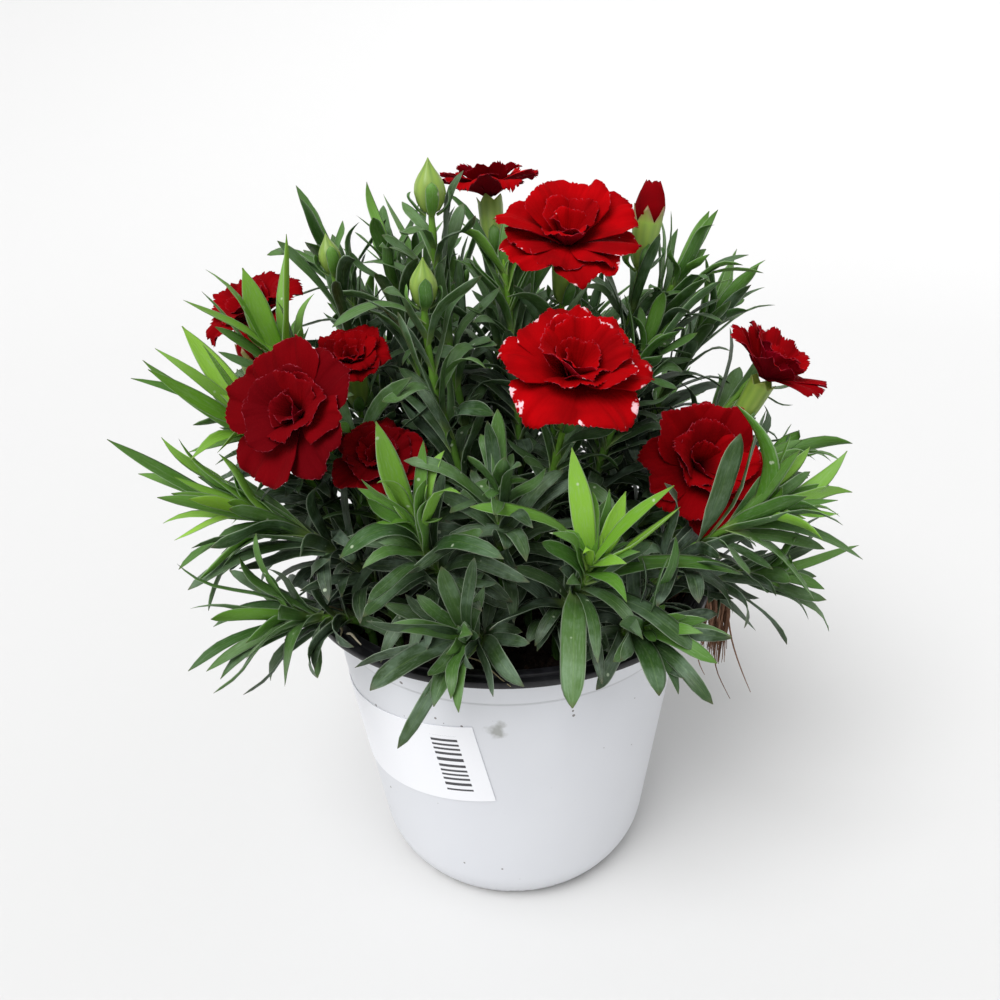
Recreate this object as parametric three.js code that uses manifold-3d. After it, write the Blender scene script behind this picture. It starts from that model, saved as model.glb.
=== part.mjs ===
// A potted dianthus: a white nursery pot, its soil, leafy stems, buds and red blooms.
// Units are millimetres, +Z is up, the pot stands on z = 0 with its axis on Z, and -Y is its front.
import * as THREE from "three";
import { mergeVertices } from "three/addons/utils/BufferGeometryUtils.js";
import Module from "manifold-3d";

const wasm = await Module();
wasm.setup();

// ---- driving dimensions ----
const POT_HEIGHT = 112;
const RIM_RADIUS = 70;
const RIM_WIDTH = 7; // the flat flange round the mouth
const RIM_DEPTH = 2.4; // how thick it is
const RIM_ROOM = 7; // leaves keep clear of it down to this depth under its top
const BODY_TOP_RADIUS = 61.4;
const BODY_FOOT_RADIUS = 48.8; // where the wall's straight slope would reach the ground
const FOOT_TUCK = 5.4; // how much the foot's round edge pulls that in
const FOOT_ROUND = 14; // the height of the round edge
const WALL = 1.2;
const STEP_Z = 97; // a small ledge runs round the wall here
const STEP_DEPTH = 0.8;
const FOOT_WIDTH = 5; // the ring that the pot stands on
const PAD_RADIUS = 14; // the flat middle of the floor, which also touches the ground
const CHANNEL_HEIGHT = 3.2; // the raised part of the floor between ring and pad
const DRAIN_HOLES = 6;
const DRAIN_RADIUS = 3.5;
const NOTCHES = 4; // drainage notches through the foot ring
const NOTCH_WIDTH = 20;
const NOTCH_TURN = 22; // degrees right of the front
const SOIL_Z = 101;
const GAP = 0.3; // between pieces that touch
const POT_SIDES = 36;
const BLADE_THICKNESS = 0.9;
const NODE_LENGTH = 3; // the short stretch of stem that a pair of leaves clasps
const CALYX_LENGTH = 17;
const CALYX_RADIUS = 3.7;
const BOX_HALF_THICKNESS = 0.9; // what a leaf keeps free to each side of its own middle face
const STEM_TAPER = 0.4; // share of its radius that a stem loses up to its top
const FLAT_SHARE = 0.86; // how far a four-sided stem's sides lie from its middle, as a share of its radius

const COLOURS = {
  pot: 0xe9ebf0,
  soil: 0x1d1713,
  roots: 0x6b4a30,
  label: 0xf4f4f2,
  leaf: 0x3f6a3c,
  young: 0x64a024,
  petal: 0xb30010,
};

// ---- small helpers ----
const vec = (x, y, z) => new THREE.Vector3(x, y, z);
const rad = THREE.MathUtils.degToRad;
const UP = vec(0, 0, 1);
const FRONT = vec(0, -0.92, 0.4);
const RIGHT = vec(0.8, -0.5, 0.3);

// A seeded row of draws between 0 and 1, the same on every machine.
function makeDraw(seed) {
  let state = seed;
  return () => {
    state = (state * 1664525 + 1013904223) % 4294967296;
    return state / 4294967296;
  };
}

function bezier(p, u) {
  const v = 1 - u;
  return vec(0, 0, 0)
    .addScaledVector(p[0], v * v * v)
    .addScaledVector(p[1], 3 * v * v * u)
    .addScaledVector(p[2], 3 * v * u * u)
    .addScaledVector(p[3], u * u * u);
}

function heading(p, u) {
  const v = 1 - u;
  return vec(0, 0, 0)
    .addScaledVector(p[0], -v * v)
    .addScaledVector(p[1], v * v - 2 * v * u)
    .addScaledVector(p[2], 2 * v * u - u * u)
    .addScaledVector(p[3], u * u)
    .normalize();
}

// The part of v that is square to the unit vector t, at unit length.
const squareTo = (v, t) => v.clone().addScaledVector(t, -v.dot(t)).normalize();
const cross = (a, b) => a.clone().cross(b);

// Two unit vectors square to the unit vector t and to each other.
function squareAxes(t) {
  const first = squareTo(Math.abs(t.x) < 0.9 ? vec(1, 0, 0) : vec(0, 1, 0), t);
  return [first, cross(t, first)];
}

function solidOf(geometry) {
  const g = geometry.clone();
  g.deleteAttribute("normal");
  g.deleteAttribute("uv");
  const merged = mergeVertices(g, 1e-4);
  return new wasm.Manifold(
    new wasm.Mesh({
      numProp: 3,
      vertProperties: merged.getAttribute("position").array,
      triVerts: new Uint32Array(merged.index.array),
    }),
  );
}

function geometryOf(solid) {
  const mesh = solid.getMesh();
  const positions = new Float32Array(mesh.numVert * 3);
  for (let i = 0; i < mesh.numVert; i++) {
    positions.set(mesh.vertProperties.subarray(i * mesh.numProp, i * mesh.numProp + 3), i * 3);
  }
  return new THREE.BufferGeometry()
    .setAttribute("position", new THREE.BufferAttribute(positions, 3))
    .setIndex(new THREE.BufferAttribute(new Uint32Array(mesh.triVerts), 1));
}

const plant = new THREE.Group();

// Keeps the largest body of a solid, so that no loose scrap of a join is left.
function largest(solid) {
  const bodies = solid.decompose();
  return bodies.reduce((a, b) => (b.volume() > a.volume() ? b : a));
}

function addPiece(name, solid, color, roughness) {
  const material = new THREE.MeshStandardMaterial({ color, roughness, metalness: 0 });
  const mesh = new THREE.Mesh(geometryOf(largest(solid)), material);
  mesh.name = name;
  plant.add(mesh);
}

// A closed body through rings of points. An end ring of one point is a tip.
function loft(rings) {
  const points = rings.flat();
  const faces = [];
  let start = 0;
  for (let i = 0; i + 1 < rings.length; i++) {
    const n = rings[i].length;
    const m = rings[i + 1].length;
    const next = start + n;
    for (let k = 0; k < Math.max(n, m); k++) {
      const a = start + (k % n);
      const b = start + ((k + 1) % n);
      const c = next + (k % m);
      const d = next + ((k + 1) % m);
      if (n > 1 && m > 1) faces.push(a, b, d, a, d, c);
      else if (m === 1) faces.push(a, b, c);
      else faces.push(a, d, c);
    }
    start = next;
  }
  const first = rings[0].length;
  for (let k = 1; k + 1 < first; k++) faces.push(0, k + 1, k);
  const last = rings[rings.length - 1].length;
  for (let k = 1; k + 1 < last; k++) faces.push(start, start + k, start + k + 1);
  return new THREE.BufferGeometry().setFromPoints(points).setIndex(faces);
}

// ---- oriented boxes: what every leaf, stem, bud and petal takes up ----
// Two boxes are clear of each other if their shadows are apart on some axis.
function boxesMeet(p, q) {
  const d = q.centre.clone().sub(p.centre);
  const apart = (axis) => {
    const reach = (box) =>
      box.half[0] * Math.abs(axis.dot(box.axes[0])) +
      box.half[1] * Math.abs(axis.dot(box.axes[1])) +
      box.half[2] * Math.abs(axis.dot(box.axes[2]));
    return Math.abs(axis.dot(d)) > reach(p) + reach(q);
  };
  if (p.axes.some(apart) || q.axes.some(apart)) return false;
  for (const a of p.axes) {
    for (const b of q.axes) {
      const axis = cross(a, b);
      if (axis.lengthSq() > 1e-9 && apart(axis)) return false;
    }
  }
  return true;
}

function boxBetween(from, to, side, halfWidth, halfThickness) {
  const along = to.clone().sub(from);
  const length = along.length();
  along.divideScalar(length);
  const across = squareTo(side, along);
  return {
    centre: from.clone().add(to).multiplyScalar(0.5),
    axes: [along, across, cross(along, across)],
    half: [length / 2, halfWidth, halfThickness],
    reach: Math.hypot(length / 2, halfWidth, halfThickness),
  };
}

const taken = []; // every box so far, with the stem that it belongs to

function boxFree(box, owner, skipOwner) {
  return !taken.some((other) => {
    if (other.owner === owner && (skipOwner || other.root)) return false;
    const far = box.reach + other.box.reach;
    if (box.centre.distanceToSquared(other.box.centre) > far * far) return false;
    return boxesMeet(box, other.box);
  });
}

const take = (box, owner, root) => taken.push({ box, owner, root });

// The outside of the pot's wall at a height.
function bodyRadius(z) {
  const tuck = Math.max(0, 1 - z / FOOT_ROUND);
  return BODY_FOOT_RADIUS + ((BODY_TOP_RADIUS - BODY_FOOT_RADIUS) * z) / STEP_Z - FOOT_TUCK * tuck * tuck;
}

// True where a point would be in the pot, its rim or the soil.
function inPot(p, gap) {
  const r = Math.hypot(p.x, p.y);
  const outside = p.z > POT_HEIGHT - RIM_ROOM - gap ? RIM_RADIUS : bodyRadius(p.z);
  if (p.z > POT_HEIGHT + gap || r > outside + gap) return false;
  return !(r < RIM_RADIUS - RIM_WIDTH - gap && p.z > SOIL_Z + gap + 1);
}

// ---- leaves ----
const LONG_LEAF = 40; // from this length on a blade has one ring more
// Rings along the blade: [place, share of the blade's full width].
const LONG_RINGS = [[0, 0.4], [0.2, 0.78], [0.46, 1], [0.76, 0.7], [1, 0]];
const SHORT_RINGS = [[0, 0.4], [0.27, 0.9], [0.66, 0.86], [1, 0]];
const isLong = (leaf) => leaf.points[0].distanceTo(leaf.points[3]) >= LONG_LEAF;
const ringsOf = (leaf) => (isLong(leaf) ? LONG_RINGS : SHORT_RINGS);

// Middle line, side and face of a blade at each station. Its side has turned by the twist before its middle.
function bladeFrames(leaf) {
  let side = leaf.side.clone();
  return ringsOf(leaf).map(([u]) => {
    const along = heading(leaf.points, u);
    side = squareTo(side, along);
    const across = side.clone().applyAxisAngle(along, leaf.twist * Math.min(1, 2.2 * u));
    return { at: bezier(leaf.points, u), across, face: cross(along, across) };
  });
}

// The ring of a blade at a station: left edge, keel, right edge.
function bladeRing(frame, width) {
  const { at, across, face } = frame;
  const up = BLADE_THICKNESS * 0.4;
  return [
    at.clone().addScaledVector(across, -width / 2).addScaledVector(face, up),
    at.clone().addScaledVector(face, up - BLADE_THICKNESS),
    at.clone().addScaledVector(across, width / 2).addScaledVector(face, up),
  ];
}

function bladeBoxes(leaf) {
  const frames = bladeFrames(leaf);
  const rings = ringsOf(leaf);
  return frames.slice(1).map((f, i) => {
    const half = (leaf.width / 2) * Math.max(rings[i][1], rings[i + 1][1]) + GAP;
    return boxBetween(frames[i].at, f.at, frames[i].across.clone().add(f.across), half, BOX_HALF_THICKNESS);
  });
}

// The radius of the stem at a place on its path, to the middle of one of its four sides.
const sideRadius = (stem, t) => stem.radius * (1 - STEM_TAPER * t) * FLAT_SHARE;

// True where the first ring of a blade stands in front of the side of the stem that it grows from, and where
// the rest of the blade keeps off that stem.
function clearOfItsStem(stem, leaf) {
  const t = stem.nodes[leaf.node];
  const out = sideways(stem, heading(stem.path, t), leaf.quarter * 90);
  const root = bezier(stem.path, t);
  const frames = bladeFrames(leaf);
  const shares = ringsOf(leaf);
  const rings = frames.slice(1).map((frame, i) => bladeRing(frame, leaf.width * shares[i + 1][1]));
  if (!rings[0].every((p) => p.clone().sub(root).dot(out) > sideRadius(stem, t) + 0.05)) return false;
  const path = Array.from({ length: 25 }, (_, i) => bezier(stem.path, i / 24));
  const middles = rings.slice(1).flatMap((ring, i) => ring.map((p, k) => p.clone().lerp(rings[i][k], 0.5)));
  const points = [...rings.slice(1).flat(), ...middles];
  return points.every((p) => path.every((q) => p.distanceTo(q) > stem.radius));
}

function bladeFree(leaf, stem) {
  if (!clearOfItsStem(stem, leaf)) return false;
  const boxes = bladeBoxes(leaf);
  for (const box of boxes.slice(1)) {
    for (const s of [-1, 0, 1]) {
      for (const e of [-1, 0, 1]) {
        const p = box.centre
          .clone()
          .addScaledVector(box.axes[0], e * box.half[0])
          .addScaledVector(box.axes[1], s * box.half[1]);
        if (inPot(p, 1.2)) return false;
      }
    }
  }
  return boxes.every((box, i) => boxFree(box, stem.name, i === 0));
}

// The direction square to the stem's axis at an angle round it, counted from the side that the stem leans to.
function sideways(stem, axis, degrees) {
  const out = squareTo(stem.out, axis);
  const round = cross(axis, out);
  return out.multiplyScalar(Math.cos(rad(degrees))).addScaledVector(round, Math.sin(rad(degrees)));
}

// A leaf by rule: it leaves a node of the stem on one of its four sides, opens away from it and droops.
function ruleLeaf(stem, node, quarter, rule) {
  const t = stem.nodes[node];
  const axis = heading(stem.path, t);
  const away = sideways(stem, axis, quarter * 90 + rule.turn);
  const at = (degrees) =>
    axis.clone().multiplyScalar(Math.cos(rad(degrees))).addScaledVector(away, Math.sin(rad(degrees)));
  const start = at(rule.open * 0.55);
  const end = at(rule.open * 1.3).addScaledVector(UP, -rule.droop).normalize();
  const root = bezier(stem.path, t);
  const half = rule.length * 0.49;
  const tip = root.clone().addScaledVector(start, half).addScaledVector(end, half);
  return {
    points: [
      root,
      root.clone().addScaledVector(start, rule.length * 0.34),
      tip.clone().addScaledVector(end, -rule.length * 0.34),
      tip,
    ],
    side: cross(axis, away),
    width: rule.width,
    twist: rule.twist,
    node,
    quarter,
  };
}

const MOST_TWIST = rad(45); // a thin blade can't turn further within its first half
const PUSHES = [0, 2, 4]; // how far a placed leaf first bows away from its stem

// Leaves whose tip is known: [node of the stem, tip, face, lift near the root, lift near the tip, width].
// There is one for each push and each side of the stem that is still free, the easiest side to leave first.
function placedLeaves(stem, [node, tip, face, liftRoot, liftTip, width]) {
  const t = stem.nodes[node];
  const axis = heading(stem.path, t);
  const root = bezier(stem.path, t);
  const end = vec(...tip);
  const along = end.clone().sub(root).normalize();
  const lift = squareTo(face, along);
  const wanted = cross(lift, along);
  const free = [0, 1, 2, 3].filter((q) => !stem.leaves.some((l) => l.node === node && l.quarter === q));
  const sideOf = (q) => squareTo(cross(axis, sideways(stem, axis, q * 90)), along);
  const ease = (q) => sideways(stem, axis, q * 90).dot(along) + 0.5 * sideOf(q).dot(wanted);
  free.sort((a, b) => ease(b) - ease(a));
  const withSide = (quarter, side, push) => ({
    points: [
      root,
      root
        .clone()
        .lerp(end, 0.33)
        .addScaledVector(lift, liftRoot)
        .addScaledVector(sideways(stem, axis, quarter * 90), push),
      root.clone().lerp(end, 0.67).addScaledVector(lift, liftTip),
      end,
    ],
    side,
    width,
    twist: THREE.MathUtils.clamp(
      Math.atan2(cross(side, wanted).dot(along), side.dot(wanted)),
      -MOST_TWIST,
      MOST_TWIST,
    ),
    node,
    quarter,
  });
  return PUSHES.flatMap((push) => free.map((quarter) => withSide(quarter, sideOf(quarter), push)));
}

// What a rule leaf tries in turn until it is clear: [turn, open, share of its length, droop], in degrees.
const TRIES = [
  [0, 0, 1, 0], [14, 0, 1, 0], [-14, 0, 1, 0], [0, 9, 1, 0.1], [0, -8, 1, 0], [27, 0, 1, 0], [-27, 0, 1, 0],
  [14, 10, 0.88, 0.1], [-14, 10, 0.88, 0.1], [0, -10, 0.85, 0], [38, 0, 0.85, 0], [-38, 0, 0.85, 0],
  [20, 18, 0.8, 0.2], [-20, 18, 0.8, 0.2], [0, 26, 0.8, 0.3], [0, 0, 0.66, 0], [30, 12, 0.62, 0.1],
  [-30, 12, 0.62, 0.1],
];

function settleLeaf(stem, node, quarter, rule) {
  for (const [turn, open, share, droop] of TRIES) {
    const leaf = ruleLeaf(stem, node, quarter, {
      ...rule,
      turn: rule.turn + turn,
      open: Math.max(9, rule.open + open),
      length: rule.length * share,
      droop: rule.droop + droop,
    });
    if (bladeFree(leaf, stem)) return leaf;
  }
  return null;
}

// ---- stems ----
const COLLAR_Z = SOIL_Z + 3; // the stems stand straight up to here
const FOOT_Z = SOIL_Z - 7;

function makeStem(name, foot, top, direction, radius) {
  const collar = vec(foot[0], foot[1], COLLAR_Z);
  const span = collar.distanceTo(top);
  const out = vec(top.x - foot[0], top.y - foot[1], 0);
  if (out.lengthSq() < 4) out.set(0.6, 0.8, 0);
  return {
    name,
    foot,
    radius,
    out: out.normalize(),
    path: [
      collar,
      collar.clone().addScaledVector(UP, span * 0.38),
      top.clone().addScaledVector(direction, -span * 0.3),
      top,
    ],
    leaves: [],
    nodes: [],
    end: null,
  };
}

// Four corners of the stem round a point of its path. Side k lies between corners k and k + 1.
function stemRing(stem, centre, axis, radius) {
  return [-45, 45, 135, 225].map((turn) =>
    centre.clone().addScaledVector(sideways(stem, axis, turn), radius * Math.SQRT2 * FLAT_SHARE),
  );
}

// Points and faces of a mesh as it grows.
class Shell {
  points = [];
  faces = [];
  add(points) {
    const first = this.points.length;
    this.points.push(...points);
    return points.map((_, i) => first + i);
  }
  quad(a, b, c, d) {
    this.faces.push(a, b, c, a, c, d);
  }
  solid() {
    return solidOf(new THREE.BufferGeometry().setFromPoints(this.points).setIndex(this.faces));
  }
}

// A blade grows out of one side of a node: a to d are the side's corners, lower left first.
function growBlade(shell, leaf, [a, b, c, d]) {
  const frames = bladeFrames(leaf);
  const rings = ringsOf(leaf);
  let [left, keel, right] = shell.add(bladeRing(frames[1], leaf.width * rings[1][1]));
  shell.faces.push(d, left, right, d, right, c, d, a, left, a, keel, left);
  shell.faces.push(a, b, keel, b, c, right, b, right, keel);
  for (let i = 2; i + 1 < rings.length; i++) {
    const [l, k, r] = shell.add(bladeRing(frames[i], leaf.width * rings[i][1]));
    shell.quad(left, keel, k, l);
    shell.quad(keel, right, r, k);
    shell.faces.push(right, left, r, left, l, r);
    [left, keel, right] = [l, k, r];
  }
  const [tip] = shell.add([frames[rings.length - 1].at]);
  shell.faces.push(left, keel, tip, keel, right, tip, right, left, tip);
}

// The bud or calyx at the end of a stem is eight-sided: [distance along the stem's axis, radius] pairs.
function growEnd(shell, stem, ring) {
  const { base, axis, profile } = stem.end;
  let last = null;
  for (const [d, r] of profile) {
    const centre = base.clone().addScaledVector(axis, d);
    if (r === 0) {
      const [tip] = shell.add([centre]);
      last.forEach((a, k) => shell.faces.push(a, last[(k + 1) % 8], tip));
      return;
    }
    const turns = [-45, 0, 45, 90, 135, 180, 225, 270];
    const corner = (turn) => centre.clone().addScaledVector(sideways(stem, axis, turn), r);
    const next = shell.add(turns.map(corner));
    if (last) last.forEach((a, k) => shell.quad(a, last[(k + 1) % 8], next[(k + 1) % 8], next[k]));
    else {
      ring.forEach((a, k) => {
        const b = ring[(k + 1) % 4];
        const [c, mid, e] = [next[2 * k], next[2 * k + 1], next[(2 * k + 2) % 8]];
        shell.faces.push(a, mid, c, a, b, mid, b, e, mid);
      });
    }
    last = next;
  }
  for (let k = 1; k + 1 < 8; k++) shell.faces.push(last[0], last[k], last[k + 1]);
}

// The stem from its foot up: each node's lower and upper ring, with its leaves between, then its end.
function stemSolid(stem) {
  const shell = new Shell();
  const foot = vec(stem.foot[0], stem.foot[1], FOOT_Z);
  const ringAt = (u, shift) => {
    const axis = heading(stem.path, u);
    const centre = bezier(stem.path, u).addScaledVector(axis, shift);
    return shell.add(stemRing(stem, centre, axis, stem.radius * (1 - STEM_TAPER * u)));
  };
  const join = (low, high, leaves) => {
    low.forEach((a, k) => {
      const side = [a, low[(k + 1) % 4], high[(k + 1) % 4], high[k]];
      const leaf = leaves.find((one) => one.quarter === k);
      if (leaf) growBlade(shell, leaf, side);
      else shell.quad(...side);
    });
  };
  let ring = shell.add(stemRing(stem, foot, UP, stem.radius));
  shell.quad(ring[3], ring[2], ring[1], ring[0]);
  const collar = shell.add(stemRing(stem, bezier(stem.path, 0), UP, stem.radius));
  join(ring, collar, []);
  ring = collar;
  stem.nodes.forEach((t, node) => {
    const low = ringAt(t, -NODE_LENGTH / 2);
    join(ring, low, []);
    ring = ringAt(t, NODE_LENGTH / 2);
    join(low, ring, stem.leaves.filter((leaf) => leaf.node === node));
  });
  if (stem.end) growEnd(shell, stem, ring);
  else {
    const top = heading(stem.path, 1);
    const [tip] = shell.add([bezier(stem.path, 1).addScaledVector(top, NODE_LENGTH + 2)]);
    ring.forEach((a, k) => shell.faces.push(a, ring[(k + 1) % 4], tip));
  }
  return shell.solid();
}

function tubeRing(centre, along, radius, sides) {
  const [first, second] = squareAxes(along);
  return Array.from({ length: sides }, (_, k) => {
    const a = (2 * Math.PI * k) / sides;
    return centre
      .clone()
      .addScaledVector(first, radius * Math.cos(a))
      .addScaledVector(second, radius * Math.sin(a));
  });
}

function takeStem(stem) {
  const stations = [0, 0.25, 0.5, 0.75, 1];
  for (let i = 0; i + 1 < stations.length; i++) {
    const from = bezier(stem.path, stations[i]);
    const to = bezier(stem.path, stations[i + 1]);
    const half = stem.radius + GAP + 0.2;
    take(boxBetween(from, to, vec(0.3, 0.9, 0.1), half, half), stem.name, true);
  }
}

// A body of revolution along an axis, from [distance along the axis, radius] pairs.
function turned(base, axis, profile, sides) {
  return solidOf(
    loft(
      profile.map(([d, r]) => {
        const centre = base.clone().addScaledVector(axis, d);
        return r === 0 ? [centre] : tubeRing(centre, axis, r, sides);
      }),
    ),
  );
}

const CALYX = [[0.5, 2.2], [4, 3.3], [CALYX_LENGTH, CALYX_RADIUS + 0.4]];
const bud = (length, radius) => [
  [0.5, 2], [length * 0.22, radius * 0.86], [length * 0.45, radius], [length * 0.72, radius * 0.72],
  [length, 0],
];

// ---- blooms ----
// Each layer of petals: how many, their reach as a share of the bloom's radius, their rise in degrees, the
// droop of their edge in mm, their turn as a share of a step, and how many stretches a toothed edge has.
const LAYERS = [
  { count: 5, reach: 1, rise: 6, droop: 4, turn: 0, teeth: 6 },
  { count: 5, reach: 0.86, rise: 26, droop: 3.5, turn: 0.5, teeth: 4 },
  { count: 3, reach: 0.6, rise: 50, droop: 1.5, turn: 0.2, teeth: 4 },
];
const PETAL_SPREAD = 0.98; // share of its layer's full circle that a petal's edge takes up
const PETAL_ROOT = 2.2; // distance from the bloom's axis, and height over the calyx
const TOOTH = 0.07; // share of the radius that the notches of the edge cut in
const PETAL_THICKNESS = 0.9;

// A point of a petal at distance r from the bloom's axis and at an angle round it.
function petalPoint(bloom, petal, r, angle, wave) {
  const [e1, e2] = squareAxes(bloom.axis);
  const edge = r / petal.span;
  const height = PETAL_ROOT + r * Math.tan(petal.rise) - petal.droop * edge * edge * edge + wave * edge;
  return bloom.centre
    .clone()
    .addScaledVector(bloom.axis, height)
    .addScaledVector(e1, r * Math.cos(angle))
    .addScaledVector(e2, r * Math.sin(angle));
}

function petals(bloom) {
  const draw = makeDraw(bloom.seed);
  const made = [];
  for (const { count, reach, rise, droop, turn, teeth } of LAYERS) {
    const slope = rad(rise + bloom.cup);
    const span = reach * bloom.radius * Math.cos(slope * 0.8);
    for (let k = 0; k < count; k++) {
      made.push({
        span,
        rise: slope,
        droop,
        teeth,
        angle: ((k + turn + (draw() - 0.5) * 0.22) * 2 * Math.PI) / count,
        radius: span * (0.92 + 0.12 * draw()),
        half: (PETAL_SPREAD * Math.PI) / count,
        wave: (draw() - 0.5) * 2.4,
      });
    }
  }
  return made;
}

// A petal is a thin lens: its toothed outline, and one point above and one below its middle.
function petalSolid(bloom, petal) {
  const edge = [];
  for (let k = 0; k <= petal.teeth; k++) {
    const share = (2 * k) / petal.teeth - 1;
    const notch = k % 2 === 1;
    const r = petal.radius * (1 - 0.16 * share * share) * (notch ? 1 - TOOTH : 1);
    const wave = petal.wave + (notch ? 0.5 : -0.3);
    edge.push(petalPoint(bloom, petal, r, petal.angle + share * petal.half, wave));
  }
  const root = petalPoint(bloom, petal, PETAL_ROOT, petal.angle, 0);
  const middle = petalPoint(bloom, petal, petal.radius * 0.55, petal.angle, petal.wave * 0.5);
  const face = squareTo(bloom.axis, middle.clone().sub(root).normalize());
  const top = middle.clone().addScaledVector(face, PETAL_THICKNESS / 2);
  const under = middle.clone().addScaledVector(face, -PETAL_THICKNESS / 2);
  return solidOf(loft([[under], [root, ...edge], [top]]));
}

function takeBloom(bloom) {
  for (const petal of petals(bloom)) {
    const from = petalPoint(bloom, petal, 2, petal.angle, 0);
    const to = petalPoint(bloom, petal, petal.radius, petal.angle, petal.wave);
    const side = cross(bloom.axis, to.clone().sub(from));
    take(boxBetween(from, to, side, petal.radius * 0.5, 1.6), bloom.name, true);
  }
}

function bloomSolid(bloom) {
  const core = turned(
    bloom.centre.clone().addScaledVector(bloom.axis, 0.4),
    bloom.axis,
    [[0, 2.6], [2.5, 4.2], [6, 2.4], [8.5, 0]],
    8,
  );
  return petals(bloom).reduce((solid, petal) => solid.add(petalSolid(bloom, petal)), core);
}

// ---- the plant's rows ----
// Blooms: centre of the ring where the petals leave the calyx, the way it faces, radius, cup in degrees,
// stem foot.
const BLOOMS = {
  front: {
    centre: [19, -38, 188], face: [0.1, -0.46, 0.88], radius: 22.5, cup: 6, foot: [6, -26], seed: 11,
  },
  centre: {
    centre: [20, -6, 219], face: [0.04, -0.36, 0.93], radius: 22.5, cup: 4, foot: [14, -8], seed: 5,
  },
  rear: {
    centre: [-2, 30, 230], face: [-0.05, 0.34, 0.93], radius: 17.5, cup: 2, foot: [-3, 20], seed: 23,
  },
  left_rear: {
    centre: [-76, 10, 196], face: [-0.3, -0.3, 0.9], radius: 17, cup: 6, foot: [-44, 14], seed: 31,
  },
  left: {
    centre: [-55, -42, 182], face: [-0.42, -0.7, 0.58], radius: 21, cup: 2, foot: [-51, -22], seed: 47,
  },
  left_inner: {
    centre: [-46, -8, 186], face: [0.05, -0.5, 0.85], radius: 11.5, cup: 8, foot: [-30, -6], seed: 53,
  },
  left_low: {
    centre: [-37, -37, 164], face: [0.16, -0.5, 0.85], radius: 13.5, cup: 2, foot: [-26, -24], seed: 61,
  },
  right_rear: {
    centre: [83, -2, 175], face: [0.4, -0.08, 0.9], radius: 19, cup: 10, foot: [42, 2], seed: 71,
  },
  right: {
    centre: [59, -21, 154], face: [0.12, -0.74, 0.66], radius: 22.5, cup: 6, foot: [30, -12], seed: 83,
  },
};

// Buds: base of the bud, the way it points, length, radius, stem foot. A red one shows its petals.
const BUDS = {
  tall: {
    base: [-19, -8, 231], face: [0, -0.05, 1], length: 15, radius: 4.5, foot: [-8, 2],
  },
  middle: {
    base: [-21, -30, 209], face: [0.04, -0.1, 1], length: 13.5, radius: 3.8, foot: [-7, -18],
  },
  left: {
    base: [-51, 4, 213], face: [-0.1, 0, 1], length: 12, radius: 3.5, foot: [-36, 10],
  },
  right_red: {
    base: [44, 6, 211], face: [0.12, 0, 1], length: 26, radius: 4.8, foot: [26, 8], red: true,
  },
  left_red: {
    base: [-74, -11, 180], face: [-0.06, -0.1, 1], length: 21, radius: 4.8, foot: [-46, -3], red: true,
  },
};

// Leafy shoots: foot, top, slope of the top in degrees, leaf pairs, leaf length.
const SHOOTS = {
  front: { foot: [14, -42], top: [22, -61, 143], slope: 66, pairs: 5, leaf: 34 },
  right_front: { foot: [38, -38], top: [69, -50, 152], slope: 36, pairs: 5, leaf: 36 },
  left_front: { foot: [-36, -32], top: [-72, -38, 151], slope: 30, pairs: 6, leaf: 42 },
  left_tuft: { foot: [-52, -10], top: [-70, -24, 171], slope: 56, pairs: 6, leaf: 40 },
  left_upper: { foot: [-46, 6], top: [-63, -21, 190], slope: 72, pairs: 6, leaf: 37 },
  left_top: { foot: [-38, 22], top: [-52, 20, 210], slope: 68, pairs: 6, leaf: 34 },
  centre_left: { foot: [-16, -38], top: [-24, -56, 152], slope: 74, pairs: 5, leaf: 38 },
  centre_tall: { foot: [-18, 8], top: [-33, 4, 212], slope: 78, pairs: 6, leaf: 32 },
  centre_back: { foot: [6, 6], top: [2, 8, 210], slope: 84, pairs: 6, leaf: 34 },
  right_top: { foot: [34, 16], top: [55, 10, 204], slope: 66, pairs: 6, leaf: 38 },
  right_inner: { foot: [24, -2], top: [44, -4, 186], slope: 72, pairs: 6, leaf: 34 },
  right_upper: { foot: [40, 22], top: [70, 24, 188], slope: 60, pairs: 6, leaf: 34 },
  right_edge: { foot: [52, 8], top: [82, 12, 170], slope: 52, pairs: 6, leaf: 34 },
  right_tuft: { foot: [50, -8], top: [86, -8, 153], slope: 36, pairs: 5, leaf: 32 },
  right_low: { foot: [50, -22], top: [76, -38, 126], slope: 20, pairs: 4, leaf: 34 },
  front_left: { foot: [-6, -48], top: [-12, -62, 122], slope: 40, pairs: 4, leaf: 36 },
  front_right: { foot: [30, -44], top: [37, -58, 120], slope: 44, pairs: 4, leaf: 32 },
  low_left: { foot: [-44, -34], top: [-62, -46, 121], slope: 30, pairs: 4, leaf: 38 },
  centre_front: { foot: [-2, -34], top: [-2, -48, 158], slope: 76, pairs: 5, leaf: 34 },
};

// Shoots round the back: their tops stand along an arc, some high and some low.
const FILL = { count: 10, from: 46, to: 138, reachLow: 84, reachHigh: 40, low: 138, high: 206 };

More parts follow.
